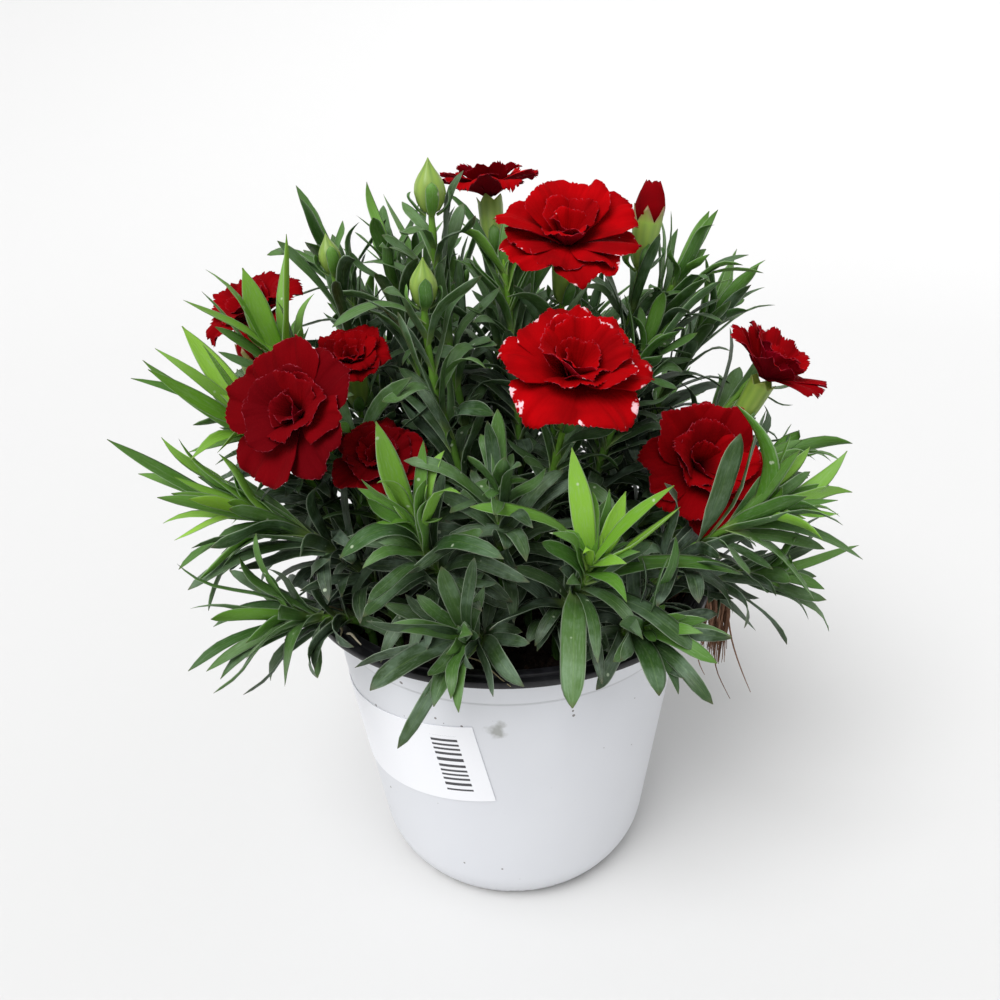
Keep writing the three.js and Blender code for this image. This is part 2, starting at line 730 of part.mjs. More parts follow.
// Leaves with a place of their own: [node, tip, face, lift near the root, lift near the tip, width].
const PLACED = {
  shoot_front: [
    [3, [-10, -60, 162], UP, 14, 8, 8], [3, [66, -56, 137], UP, 6, 5, 9], [2, [50, -72, 122], UP, 8, 5, 8],
    [2, [15, -88, 118], UP, 7, 6, 8.5], [1, [-6, -70, 130], UP, 4, 3, 7],
    [4, [17, -60, 178], FRONT, 3, 1, 7.5],
    [4, [31, -62, 166], FRONT, 1, 0, 6.5], [4, [46, -60, 160], FRONT, 4, 3, 8],
  ],
  shoot_right_front: [
    [4, [99, -36, 165], UP, -6, -7, 6.5], [4, [88, -38, 162], UP, 0, 0, 7],
    [4, [61, -50, 185], RIGHT, 8, 9, 8.5],
    [2, [65, -52, 177], FRONT, 4, 4, 8.5], [3, [88, -54, 126], UP, 6, 4, 7],
  ],
  shoot_left_front: [
    [4, [-112, -38, 177], UP, -2, -4, 8], [5, [-100, -30, 174], UP, -1, -2, 7.5],
    [3, [-90, -46, 124], UP, 16, 12, 7],
  ],
  shoot_left_tuft: [
    [5, [-91, -22, 204], FRONT, 2, 2, 8.5], [5, [-94, -32, 198], FRONT, 1, 1, 7.5],
    [4, [-105, -20, 194], UP, -2, -5, 6.5],
  ],
  shoot_left_upper: [
    [5, [-71, -23, 220], FRONT, 1, 1, 9], [5, [-63, -26, 223], FRONT, 1, 1, 8],
    [4, [-76, -26, 215], FRONT, 0, -2, 6.5],
  ],
  bud_middle: [[1, [-27, -42, 211], FRONT, 3, 4, 9.5], [3, [-46, -34, 205], UP, 7, 7, 7.5]],
  shoot_centre_left: [[4, [-33, -58, 186], FRONT, 1, 2, 8], [3, [-46, -60, 148], UP, 12, 9, 8.5]],
  bloom_front: [[1, [-16, -50, 156], UP, 9, 8, 8]],
  bloom_centre: [[2, [2, -26, 211], UP, 9, 7, 6.5]],
  shoot_front_left: [[2, [-21, -84, 117], UP, 6, 5, 8.5], [1, [-38, -80, 119], UP, 7, 6, 8.5]],
  shoot_front_right: [[2, [38, -84, 117], UP, 6, 5, 8]],
  shoot_low_left: [[2, [-66, -62, 108], UP, 11, 9, 7.5], [3, [-88, -50, 121], UP, 6, 4, 7]],
};

const stems = [];
const blooms = [];
const redTips = [];

// The heights of a stem's nodes, closer together towards its top.
function setNodes(stem, pairs, from, to) {
  for (let i = 0; i < pairs; i++) stem.nodes.push(from + (to - from) * Math.pow(i / (pairs - 1), 0.75));
}

for (const [name, row] of Object.entries(BLOOMS)) {
  const axis = vec(...row.face).normalize();
  const centre = vec(...row.centre);
  const base = centre.clone().addScaledVector(axis, -CALYX_LENGTH - GAP);
  const stem = makeStem("bloom_" + name, row.foot, base, axis, 1.5);
  stem.end = { base, axis, profile: CALYX };
  setNodes(stem, 3, 0.3, 0.82);
  Object.assign(stem, { leaf: 33, seed: row.seed + 1, open: [56, 34] });
  blooms.push({ ...row, name: "petals_" + name, centre, axis });
  stems.push(stem);
}

for (const [name, row] of Object.entries(BUDS)) {
  const axis = vec(...row.face).normalize();
  const base = vec(...row.base);
  const stem = makeStem("bud_" + name, row.foot, base, axis, 1.5);
  const cup = row.length * 0.55;
  if (row.red) {
    stem.end = { base, axis, profile: [[0.5, 2], [4, 3.1], [cup, row.radius - 0.3]] };
    redTips.push({
      name: "petals_" + name,
      base: base.clone().addScaledVector(axis, cup + GAP),
      axis,
      profile: [[0, row.radius - 0.6], [3, row.radius], [8, row.radius * 0.8], [row.length - cup, 0.8]],
    });
  } else stem.end = { base, axis, profile: bud(row.length, row.radius) };
  setNodes(stem, 4, 0.3, 0.95);
  Object.assign(stem, { leaf: 33, seed: row.foot[0] * 7 + 701, open: [56, 20] });
  stems.push(stem);
}

function addShoot(name, row, seed) {
  const top = vec(...row.top);
  const out = vec(top.x - row.foot[0], top.y - row.foot[1], 0).normalize();
  const slope = rad(row.slope);
  const direction = out.multiplyScalar(Math.cos(slope)).addScaledVector(UP, Math.sin(slope));
  const stem = makeStem("shoot_" + name, row.foot, top, direction, 1.4);
  setNodes(stem, row.pairs, 0.15, 1);
  Object.assign(stem, { leaf: row.leaf, seed, open: [60, 17] });
  stems.push(stem);
}

Object.entries(SHOOTS).forEach(([name, row], i) => addShoot(name, row, 1000 + 37 * i));

for (let k = 0; k < FILL.count; k++) {
  const turn = rad(FILL.from + ((FILL.to - FILL.from) * k) / (FILL.count - 1));
  const high = (k * 0.618) % 1;
  const foot = 50 - 26 * high;
  const reach = FILL.reachLow + (FILL.reachHigh - FILL.reachLow) * high;
  const row = {
    foot: [Math.cos(turn) * foot, Math.sin(turn) * foot],
    top: [Math.cos(turn) * reach, Math.sin(turn) * reach, FILL.low + (FILL.high - FILL.low) * high],
    slope: 26 + 44 * high,
    pairs: 6,
    leaf: 38,
  };
  addShoot("fill_" + String(k + 1).padStart(2, "0"), row, 5000 + 61 * k);
}

// The strands of the root tangle, from the soil over the rim and down outside.
const TANGLE_TURN = rad(-14);
const STRANDS = 5;
const STRAND_RADII = [1.1, 1.5, 1.6, 1.3, 0.35];
function tangleLines() {
  const draw = makeDraw(909);
  const at = (r, side, z) => vec(r, side, z).applyAxisAngle(UP, TANGLE_TURN);
  return Array.from({ length: STRANDS }, (_, k) => {
    const side = (k - (STRANDS - 1) / 2) * 2;
    const low = 70 + 26 * draw();
    const sway = (draw() - 0.5) * 9;
    const out = 73 + 5 * draw();
    return [
      at(57, side * 0.9, SOIL_Z + 2.6), at(62.5, side, POT_HEIGHT + 2.2), at(71, side, POT_HEIGHT + 2.4),
      at(out, side + sway * 0.4, POT_HEIGHT - 8), at(out + 1.5, side + sway, low),
    ];
  });
}
const TANGLE = tangleLines();

// ---- what leaves have to keep clear of comes first, then placed leaves, then leaves by rule ----
// A stem's own leaves keep clear of its bud or calyx too.
const takeTurned = ({ base, axis, profile }, owner) => {
  const end = profile[profile.length - 1][0];
  const half = Math.max(...profile.map(([, r]) => r)) + GAP;
  const top = base.clone().addScaledVector(axis, end);
  take(boxBetween(base, top, vec(0.3, 0.9, 0.1), half, half), owner, false);
};
stems.forEach(takeStem);
stems.forEach((stem) => stem.end && takeTurned(stem.end, stem.name));
redTips.forEach((tip) => takeTurned(tip, tip.name));
blooms.forEach(takeBloom);
for (const line of TANGLE) {
  for (let i = 1; i < line.length; i++) {
    const half = STRAND_RADII[i] + GAP;
    take(boxBetween(line[i - 1], line[i], vec(0.3, 0.9, 0.1), half, half), "root_tangle", false);
  }
}

function keepLeaf(stem, leaf) {
  if (!leaf) return;
  stem.leaves.push(leaf);
  bladeBoxes(leaf).forEach((box, i) => take(box, stem.name, i === 0));
}

// A placed leaf's tip may give way by this much, nearest first, where its own place is taken.
const NUDGES = [
  [0, 0, 0], [0, -3, 2], [3, -2, 1], [-3, -2, 1], [0, -6, 4], [0, 2, 5], [5, -4, 0], [-5, -4, 0], [0, -8, -3],
  [6, 0, 6], [-6, 0, 6], [0, -4, 9], [8, -6, 3], [-8, -6, 3], [0, -12, 0],
];
for (const stem of stems) {
  for (const [node, [x, y, z], ...rest] of PLACED[stem.name] ?? []) {
    const tries = NUDGES.flatMap(([dx, dy, dz]) =>
      placedLeaves(stem, [node, [x + dx, y + dy, z + dz], ...rest]),
    );
    keepLeaf(stem, tries.find((leaf) => bladeFree(leaf, stem)));
  }
}

for (const stem of stems) {
  const draw = makeDraw(stem.seed);
  const pairs = stem.nodes.length;
  for (let node = pairs - 1; node >= 0; node--) {
    const share = node / (pairs - 1);
    for (const quarter of [node % 2, (node % 2) + 2]) {
      const rule = {
        turn: (draw() - 0.5) * 24,
        open: stem.open[0] + (stem.open[1] - stem.open[0]) * share + (draw() - 0.5) * 14,
        droop: 0.95 * Math.pow(1 - share, 1.4) * (0.5 + draw()),
        length: stem.leaf * (0.86 + 0.28 * draw()) * (0.84 + 0.5 * share * (1 - share)),
        width: 7 + 1.8 * draw() - 1.1 * share,
        twist: (draw() - 0.5) * 0.9,
      };
      if (stem.leaves.some((leaf) => leaf.node === node && leaf.quarter === quarter)) continue;
      keepLeaf(stem, settleLeaf(stem, node, quarter, rule));
    }
  }
}

// ---- pot ----
function revolve(profile) {
  const line = profile.map(([r, z]) => new THREE.Vector2(r, z));
  return solidOf(new THREE.LatheGeometry(line, POT_SIDES).rotateX(Math.PI / 2));
}

function prism(width, depth, height, x, y, z, turn) {
  return solidOf(new THREE.BoxGeometry(width, depth, height).translate(x, y, z).rotateZ(turn));
}

function potSolid() {
  const top = POT_HEIGHT;
  const mouth = RIM_RADIUS - RIM_WIDTH;
  const foot = bodyRadius(0);
  const floor = CHANNEL_HEIGHT + WALL;
  const profile = [
    [0, 0], [PAD_RADIUS, 0], [PAD_RADIUS + 2, CHANNEL_HEIGHT], [foot - FOOT_WIDTH - 2, CHANNEL_HEIGHT],
    [foot - FOOT_WIDTH, 0], [foot, 0], [bodyRadius(2.5), 2.5], [bodyRadius(7), 7],
    [bodyRadius(FOOT_ROUND), FOOT_ROUND], [BODY_TOP_RADIUS - STEP_DEPTH, STEP_Z],
    [BODY_TOP_RADIUS, STEP_Z + 1.2], [mouth + WALL, top - RIM_DEPTH], [RIM_RADIUS, top - RIM_DEPTH],
    [RIM_RADIUS, top], [mouth, top],
    [BODY_TOP_RADIUS - STEP_DEPTH - WALL, STEP_Z], [bodyRadius(FOOT_ROUND) - WALL, FOOT_ROUND],
    [bodyRadius(floor) - WALL, floor], [0, floor],
  ];
  let pot = revolve(profile);
  for (let k = 0; k < DRAIN_HOLES; k++) {
    const turn = (2 * Math.PI * (k + 0.5)) / DRAIN_HOLES;
    const middle = (PAD_RADIUS + foot - FOOT_WIDTH) / 2;
    const drill = new THREE.CylinderGeometry(DRAIN_RADIUS, DRAIN_RADIUS, 12, 8).rotateX(Math.PI / 2);
    drill.translate(middle * Math.cos(turn), middle * Math.sin(turn), CHANNEL_HEIGHT);
    pot = pot.subtract(solidOf(drill));
  }
  for (let k = 0; k < NOTCHES; k++) {
    const turn = rad(-90 + NOTCH_TURN + (360 * k) / NOTCHES);
    pot = pot.subtract(prism(12, NOTCH_WIDTH, 2 * CHANNEL_HEIGHT - 0.8, foot - 1, 0, 0, turn));
  }
  return pot;
}

// ---- soil: a low mound with a crumbly top, and a plain hole for each stem ----
function soilSolid() {
  const sides = 24;
  const draw = makeDraw(77);
  const rings = [];
  const low = CHANNEL_HEIGHT + WALL + GAP;
  const wall = (z) => bodyRadius(z) - WALL - GAP - 0.6;
  const circle = (r, z, rough) =>
    Array.from({ length: sides }, (_, k) => {
      const a = (2 * Math.PI * k) / sides;
      return vec(r * Math.cos(a), r * Math.sin(a), z + (draw() - 0.5) * rough);
    });
  const inner = Math.cos(Math.PI / POT_SIDES); // keeps the flat-sided soil inside the flat-sided wall
  const mouth = (wall(STEP_Z - 1) - STEP_DEPTH) * inner;
  rings.push([vec(0, 0, low)]);
  rings.push(circle(wall(low) * inner - 1, low, 0));
  rings.push(circle(wall(FOOT_ROUND) * inner - 0.6, FOOT_ROUND, 0));
  rings.push(circle(mouth, SOIL_Z - 4, 0));
  for (const [share, rise, rough] of [[0.985, -1.2, 1], [0.78, 0, 2.6], [0.5, 0.6, 2.4]]) {
    rings.push(circle(mouth * share, SOIL_Z + rise - 1, rough));
  }
  rings.push([vec(0, 0, SOIL_Z)]);
  let soil = solidOf(loft(rings));
  for (const stem of stems) {
    const [x, y] = stem.foot;
    const r = stem.radius + 0.5;
    const [low, high] = [FOOT_Z - GAP, SOIL_Z + 20].map((z) => stemRing(stem, vec(x, y, z), UP, r));
    soil = soil.subtract(solidOf(loft([low, high])));
  }
  return soil;
}

// ---- a tangle of dry roots that hangs over the rim on the right ----
function tangleSolid() {
  const side = vec(0, 1, 0).applyAxisAngle(UP, TANGLE_TURN);
  let solid = null;
  for (const line of TANGLE) {
    const rings = line.map((p, i) => {
      const from = line[Math.max(0, i - 1)];
      const to = line[Math.min(line.length - 1, i + 1)];
      const along = to.clone().sub(from).normalize();
      const across = squareTo(side, along);
      return [90, 210, 330].map((turn) => {
        const spoke = across.clone().applyAxisAngle(along, rad(turn));
        return p.clone().addScaledVector(spoke, STRAND_RADII[i]);
      });
    });
    const strand = solidOf(loft(rings));
    solid = solid ? solid.add(strand) : strand;
  }
  return solid;
}

// ---- the paper label on the left of the front ----
// Its right upper corner is at this angle from the front and this height, and it is stuck on a little askew.
const LABEL = { turn: -12, top: 88, width: 78, height: 33, tilt: 9.5, thickness: 0.4 };
function labelSolid() {
  const columns = 14;
  const [lean, rise] = [Math.sin(rad(LABEL.tilt)), Math.cos(rad(LABEL.tilt))];
  const corner = (left, down, out) => {
    const z = LABEL.top - left * lean - down * rise;
    const r = bodyRadius(z) + GAP + out;
    const turn = rad(-90 + LABEL.turn) + (down * lean - left * rise) / r;
    return vec(r * Math.cos(turn), r * Math.sin(turn), z);
  };
  const rings = [];
  for (let i = columns; i >= 0; i--) {
    const left = (LABEL.width * i) / columns;
    rings.push([
      corner(left, 0, 0), corner(left, 0, LABEL.thickness), corner(left, LABEL.height, LABEL.thickness),
      corner(left, LABEL.height, 0),
    ]);
  }
  return solidOf(loft(rings));
}

// ---- assembly ----
addPiece("pot", potSolid(), COLOURS.pot, 0.4);
addPiece("soil", soilSolid(), COLOURS.soil, 1);
addPiece("root_tangle", tangleSolid(), COLOURS.roots, 0.9);
addPiece("label", labelSolid(), COLOURS.label, 0.6);
for (const stem of stems) {
  addPiece(stem.name, stemSolid(stem), COLOURS.leaf, 0.6);
}
for (const bloom of blooms) addPiece(bloom.name, bloomSolid(bloom), COLOURS.petal, 0.7);
for (const tip of redTips) addPiece(tip.name, turned(tip.base, tip.axis, tip.profile, 8), COLOURS.petal, 0.7);

export default plant;
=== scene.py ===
# %% [markdown]
# # A potted dianthus
# A white nursery pot holds a garden pink: a cushion of narrow grey-green leaves with bright young tips,
# slim buds and nine velvety red blooms. The solids of the model give every stem, leaf and petal its place.
# Here each of them gets its fine shape and its finish. The work goes from the plant's own rule of growth to
# leaves, buds, petals, pot, soil, roots and label, and then to light and camera.

import math

import bmesh
import bpy
import numpy as np
from mathutils import Matrix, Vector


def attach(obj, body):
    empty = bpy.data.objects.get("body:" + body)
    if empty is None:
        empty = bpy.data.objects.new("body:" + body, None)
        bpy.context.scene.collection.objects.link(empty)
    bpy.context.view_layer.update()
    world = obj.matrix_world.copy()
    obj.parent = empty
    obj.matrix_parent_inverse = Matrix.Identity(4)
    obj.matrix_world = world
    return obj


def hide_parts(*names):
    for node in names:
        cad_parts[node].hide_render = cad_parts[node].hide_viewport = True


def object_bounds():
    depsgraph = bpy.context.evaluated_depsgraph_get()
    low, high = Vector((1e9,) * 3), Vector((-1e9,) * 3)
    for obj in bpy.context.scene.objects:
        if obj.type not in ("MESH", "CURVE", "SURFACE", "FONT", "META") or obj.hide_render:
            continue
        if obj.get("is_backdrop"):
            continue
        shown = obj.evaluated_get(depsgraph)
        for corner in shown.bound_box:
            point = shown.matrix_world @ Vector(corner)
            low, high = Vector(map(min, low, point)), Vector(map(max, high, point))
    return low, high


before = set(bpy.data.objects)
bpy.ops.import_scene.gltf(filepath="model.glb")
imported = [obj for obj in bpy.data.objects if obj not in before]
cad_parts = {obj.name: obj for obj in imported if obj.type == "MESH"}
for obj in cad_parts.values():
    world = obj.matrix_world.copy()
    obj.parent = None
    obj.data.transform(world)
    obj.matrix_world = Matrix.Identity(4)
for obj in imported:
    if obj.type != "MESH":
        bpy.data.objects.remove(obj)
solid_low, solid_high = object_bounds()
MM = 0.001  # the plant is worked out in millimetres, and Blender's unit is the metre
print("solids:", len(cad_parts), "box in mm:", [round(x / MM) for x in solid_high - solid_low])

# %% [markdown]
# A few small helpers serve every material and every node tree. Colours are easier to pick as sRGB hex values,
# but Blender calculates with linear light, so one function turns them over. Another adds one node, with its
# settings and with its inputs either linked or set, and two more make an empty material and an empty tree.

# %% Helpers for colours and nodes


def colour(text):
    """A hex colour such as 2f4a3a as linear red, green, blue and alpha."""
    parts = [int(text[i : i + 2], 16) / 255 for i in (0, 2, 4)]
    return [c / 12.92 if c <= 0.04045 else ((c + 0.055) / 1.055) ** 2.4 for c in parts] + [1.0]


def add(tree, kind, settings=None, inputs=None):
    """Adds one node. Each input is linked to a socket or to a node's first output, or else set."""
    node = tree.nodes.new(kind)
    for key, value in (settings or {}).items():
        setattr(node, key, value)
    for key, value in (inputs or {}).items():
        given = value.outputs[0] if isinstance(value, bpy.types.Node) else value
        if isinstance(given, bpy.types.NodeSocket):
            tree.links.new(given, node.inputs[key])
        else:
            node.inputs[key].default_value = given
    return node


def new_material(name):
    """An empty material and its node tree."""
    made = bpy.data.materials.new(name)
    made.use_nodes = True
    made.node_tree.nodes.clear()
    return made, made.node_tree


def new_tree(name, kinds):
    """A geometry node tree and its input node, with one more input for each kind that is named."""
    tree = bpy.data.node_groups.new(name, "GeometryNodeTree")
    tree.interface.new_socket("Geometry", in_out="INPUT", socket_type="NodeSocketGeometry")
    for label, kind in kinds.items():
        tree.interface.new_socket(label, in_out="INPUT", socket_type="NodeSocket" + kind)
    tree.interface.new_socket("Geometry", in_out="OUTPUT", socket_type="NodeSocketGeometry")
    return tree, add(tree, "NodeGroupInput")


# %% [markdown]
# ## How the plant grows
# A pink's leaves stand in pairs on swollen nodes, each pair a quarter turn from the last. The solids were
# grown by that rule with a seeded row of draws, so the same rule gives the same leaves here. Copying the
# solids' blades would only give their few flat faces. Growing them again gives the smooth middle line of
# each blade, from which a fine one can be made.

# %% Curves and draws


def make_draw(seed):
    """A seeded row of draws between 0 and 1."""
    state = seed

    def draw():
        nonlocal state
        state = (state * 1664525 + 1013904223) % 4294967296
        return state / 4294967296

    return draw


def vec(x, y, z):
    return np.array([x, y, z], float)


def unit(v):
    return v / np.linalg.norm(v)


def square_to(v, t):
    """The part of v that is square to the unit vector t, at unit length."""
    return unit(v - t * (v @ t))


def bezier(p, u):
    v = 1 - u
    return p[0] * v**3 + p[1] * (3 * v * v * u) + p[2] * (3 * v * u * u) + p[3] * u**3


def heading(p, u):
    v = 1 - u
    return unit(-p[0] * v * v + p[1] * (v * v - 2 * v * u) + p[2] * (2 * v * u - u * u) + p[3] * u * u)


SEEDS = {"shoots": 1000, "fill": 5000, "small leaves": 9000, "blades": 3000, "petals": 400, "strands": 909,
         "fine roots": 77, "straw": 31}
UP = vec(0, 0, 1)
FRONT = vec(0, -0.92, 0.4)
RIGHT = vec(0.8, -0.5, 0.3)

# %% [markdown]
# The stems' rows are the model's own: where each stem leaves the soil, where it ends and which way it points
# there. Blooms and buds have a row each, leafy shoots another, and ten shoots fill the back along an arc.

# %% Rows of stems
SOIL_Z = 101
COLLAR_Z = SOIL_Z + 3
FOOT_Z = SOIL_Z - 7
NODE_LENGTH = 3
STEM_TAPER = 0.4
CALYX_LENGTH = 17
CALYX_RADIUS = 3.7
GAP = 0.3

BLOOMS = {
    "front": dict(centre=(19, -38, 188), face=(0.1, -0.46, 0.88), radius=22.5, cup=6, foot=(6, -26), seed=11),
    "centre": dict(centre=(20, -6, 219), face=(0.04, -0.36, 0.93), radius=22.5, cup=4, foot=(14, -8), seed=5),
    "rear": dict(centre=(-2, 30, 230), face=(-0.05, 0.34, 0.93), radius=17.5, cup=2, foot=(-3, 20), seed=23),
    "left_rear": dict(centre=(-76, 10, 196), face=(-0.3, -0.3, 0.9), radius=17, cup=6, foot=(-44, 14),
                      seed=31),
    "left": dict(centre=(-55, -42, 182), face=(-0.42, -0.7, 0.58), radius=21, cup=2, foot=(-51, -22),
                 seed=47),
    "left_inner": dict(centre=(-46, -8, 186), face=(0.05, -0.5, 0.85), radius=11.5, cup=8, foot=(-30, -6),
                       seed=53),
    "left_low": dict(centre=(-37, -37, 164), face=(0.16, -0.5, 0.85), radius=13.5, cup=2, foot=(-26, -24),
                     seed=61),
    "right_rear": dict(centre=(83, -2, 175), face=(0.4, -0.08, 0.9), radius=19, cup=10, foot=(42, 2),
                       seed=71),
    "right": dict(centre=(59, -21, 154), face=(0.12, -0.74, 0.66), radius=22.5, cup=6, foot=(30, -12),
                  seed=83),
}
BUDS = {
    "tall": dict(base=(-19, -8, 231), face=(0, -0.05, 1), length=15, radius=4.5, foot=(-8, 2)),
    "middle": dict(base=(-21, -30, 209), face=(0.04, -0.1, 1), length=13.5, radius=3.8, foot=(-7, -18)),
    "left": dict(base=(-51, 4, 213), face=(-0.1, 0, 1), length=12, radius=3.5, foot=(-36, 10)),
    "right_red": dict(base=(44, 6, 211), face=(0.12, 0, 1), length=26, radius=4.8, foot=(26, 8), red=True),
    "left_red": dict(base=(-74, -11, 180), face=(-0.06, -0.1, 1), length=21, radius=4.8, foot=(-46, -3),
                     red=True),
}
# Leafy shoots: foot, top, slope of the top in degrees, leaf pairs, leaf length.
SHOOTS = {
    "front": ((14, -42), (22, -61, 143), 66, 5, 34),
    "right_front": ((38, -38), (69, -50, 152), 36, 5, 36),
    "left_front": ((-36, -32), (-72, -38, 151), 30, 6, 42),
    "left_tuft": ((-52, -10), (-70, -24, 171), 56, 6, 40),
    "left_upper": ((-46, 6), (-63, -21, 190), 72, 6, 37),
    "left_top": ((-38, 22), (-52, 20, 210), 68, 6, 34),
    "centre_left": ((-16, -38), (-24, -56, 152), 74, 5, 38),
    "centre_tall": ((-18, 8), (-33, 4, 212), 78, 6, 32),
    "centre_back": ((6, 6), (2, 8, 210), 84, 6, 34),
    "right_top": ((34, 16), (55, 10, 204), 66, 6, 38),
    "right_inner": ((24, -2), (44, -4, 186), 72, 6, 34),
    "right_upper": ((40, 22), (70, 24, 188), 60, 6, 34),
    "right_edge": ((52, 8), (82, 12, 170), 52, 6, 34),
    "right_tuft": ((50, -8), (86, -8, 153), 36, 5, 32),
    "right_low": ((50, -22), (76, -38, 126), 20, 4, 34),
    "front_left": ((-6, -48), (-12, -62, 122), 40, 4, 36),
    "front_right": ((30, -44), (37, -58, 120), 44, 4, 32),
    "low_left": ((-44, -34), (-62, -46, 121), 30, 4, 38),
    "centre_front": ((-2, -34), (-2, -48, 158), 76, 5, 34),
}
# The shoots that fill the back stand on an arc, and a low one reaches further out than a high one.
FILL = dict(count=10, start=46, stop=138, reach_low=84, reach_high=40, low=138, high=206)
GOLDEN = 0.618  # spreads their heights evenly, whatever their number
# Leaves with a place of their own: node, tip, face, lift near the root, lift near the tip, width.
PLACED = {
    "shoot_front": [
        (3, (-10, -60, 162), UP, 14, 8, 8), (3, (66, -56, 137), UP, 6, 5, 9),
        (2, (50, -72, 122), UP, 8, 5, 8), (2, (15, -88, 118), UP, 7, 6, 8.5),
        (1, (-6, -70, 130), UP, 4, 3, 7), (4, (17, -60, 178), FRONT, 3, 1, 7.5),
        (4, (31, -62, 166), FRONT, 1, 0, 6.5), (4, (46, -60, 160), FRONT, 4, 3, 8),
    ],
    "shoot_right_front": [
        (4, (99, -36, 165), UP, -6, -7, 6.5), (4, (88, -38, 162), UP, 0, 0, 7),
        (4, (61, -50, 185), RIGHT, 8, 9, 8.5), (2, (65, -52, 177), FRONT, 4, 4, 8.5),
        (3, (88, -54, 126), UP, 6, 4, 7),
    ],
    "shoot_left_front": [
        (4, (-112, -38, 177), UP, -2, -4, 8), (5, (-100, -30, 174), UP, -1, -2, 7.5),
        (3, (-90, -46, 124), UP, 16, 12, 7),
    ],
    "shoot_left_tuft": [
        (5, (-91, -22, 204), FRONT, 2, 2, 8.5), (5, (-94, -32, 198), FRONT, 1, 1, 7.5),
        (4, (-105, -20, 194), UP, -2, -5, 6.5),
    ],
    "shoot_left_upper": [
        (5, (-71, -23, 220), FRONT, 1, 1, 9), (5, (-63, -26, 223), FRONT, 1, 1, 8),
        (4, (-76, -26, 215), FRONT, 0, -2, 6.5),
    ],
    "bud_middle": [(1, (-27, -42, 211), FRONT, 3, 4, 9.5), (3, (-46, -34, 205), UP, 7, 7, 7.5)],
    "shoot_centre_left": [(4, (-33, -58, 186), FRONT, 1, 2, 8), (3, (-46, -60, 148), UP, 12, 9, 8.5)],
    "bloom_front": [(1, (-16, -50, 156), UP, 9, 8, 8)],
    "bloom_centre": [(2, (2, -26, 211), UP, 9, 7, 6.5)],
    "shoot_front_left": [(2, (-21, -84, 117), UP, 6, 5, 8.5), (1, (-38, -80, 119), UP, 7, 6, 8.5)],
    "shoot_front_right": [(2, (38, -84, 117), UP, 6, 5, 8)],
    "shoot_low_left": [(2, (-66, -62, 108), UP, 11, 9, 7.5), (3, (-88, -50, 121), UP, 6, 4, 7)],
}
print("stems:", len(BLOOMS) + len(BUDS) + len(SHOOTS) + FILL["count"])

# %% Stems


def make_stem(name, foot, top, direction, radius):
    """A stem stands straight up to the collar, then bends along a curve to its top."""
    collar = vec(foot[0], foot[1], COLLAR_Z)
    span = np.linalg.norm(top - collar)
    out = vec(top[0] - foot[0], top[1] - foot[1], 0)
    out = unit(out) if out @ out >= 4 else unit(vec(0.6, 0.8, 0))
    path = [collar, collar + UP * span * 0.38, top - direction * span * 0.3, top]
    return dict(name=name, foot=foot, radius=radius, out=out, path=path, leaves=[], end=None)


def node_heights(pairs, start, stop):
    """The heights of a stem's nodes, closer together towards its top."""
    return [start + (stop - start) * (i / (pairs - 1)) ** 0.75 for i in range(pairs)]


def add_shoot(name, foot, top, slope, pairs, leaf, seed):
    top = vec(*top)
    out = unit(vec(top[0] - foot[0], top[1] - foot[1], 0))
    direction = out * math.cos(math.radians(slope)) + UP * math.sin(math.radians(slope))
    stem = make_stem("shoot_" + name, foot, top, direction, 1.4)
    stem.update(nodes=node_heights(pairs, 0.15, 1), leaf=leaf, seed=seed, open=(60, 17))
    stems.append(stem)


stems = []
for name, row in BLOOMS.items():
    axis = unit(vec(*row["face"]))
    base = vec(*row["centre"]) - axis * (CALYX_LENGTH + GAP)
    stem = make_stem("bloom_" + name, row["foot"], base, axis, 1.5)
    stem.update(nodes=node_heights(3, 0.3, 0.82), leaf=33, seed=row["seed"] + 1, open=(56, 34))
    stem["end"] = dict(kind="calyx", base=base, axis=axis, length=CALYX_LENGTH)
    stems.append(stem)
for name, row in BUDS.items():
    axis = unit(vec(*row["face"]))
    base = vec(*row["base"])
    stem = make_stem("bud_" + name, row["foot"], base, axis, 1.5)
    stem.update(nodes=node_heights(4, 0.3, 0.95), leaf=33, seed=row["foot"][0] * 7 + 701, open=(56, 20))
    kind = "cup" if row.get("red") else "bud"
    stem["end"] = dict(kind=kind, base=base, axis=axis, length=row["length"], radius=row["radius"])
    stems.append(stem)
for i, (name, row) in enumerate(SHOOTS.items()):
    add_shoot(name, *row, SEEDS["shoots"] + 37 * i)
for k in range(FILL["count"]):
    turn = math.radians(FILL["start"] + (FILL["stop"] - FILL["start"]) * k / (FILL["count"] - 1))
    high = (k * GOLDEN) % 1
    foot = 50 - 26 * high
    reach = FILL["reach_low"] + (FILL["reach_high"] - FILL["reach_low"]) * high
    top = (math.cos(turn) * reach, math.sin(turn) * reach, FILL["low"] + (FILL["high"] - FILL["low"]) * high)
    foot = (math.cos(turn) * foot, math.sin(turn) * foot)
    add_shoot(f"fill_{k + 1:02d}", foot, top, 26 + 44 * high, 6, 38, SEEDS["fill"] + 61 * k)
print("stems made:", len(stems))

# %% [markdown]
# Where two leaves would have crossed, the model turned one of them or made it shorter, and tried a fixed
# list of such changes until it was clear. A leaf's tip is a corner of its solid, so the change that it took
# is the first one in the list whose tip is found among the solid's corners. That needs no test for
# crossings here. A leaf with a place of its own is told by the keel of its first ring as well, since it can
# leave the stem on any side.

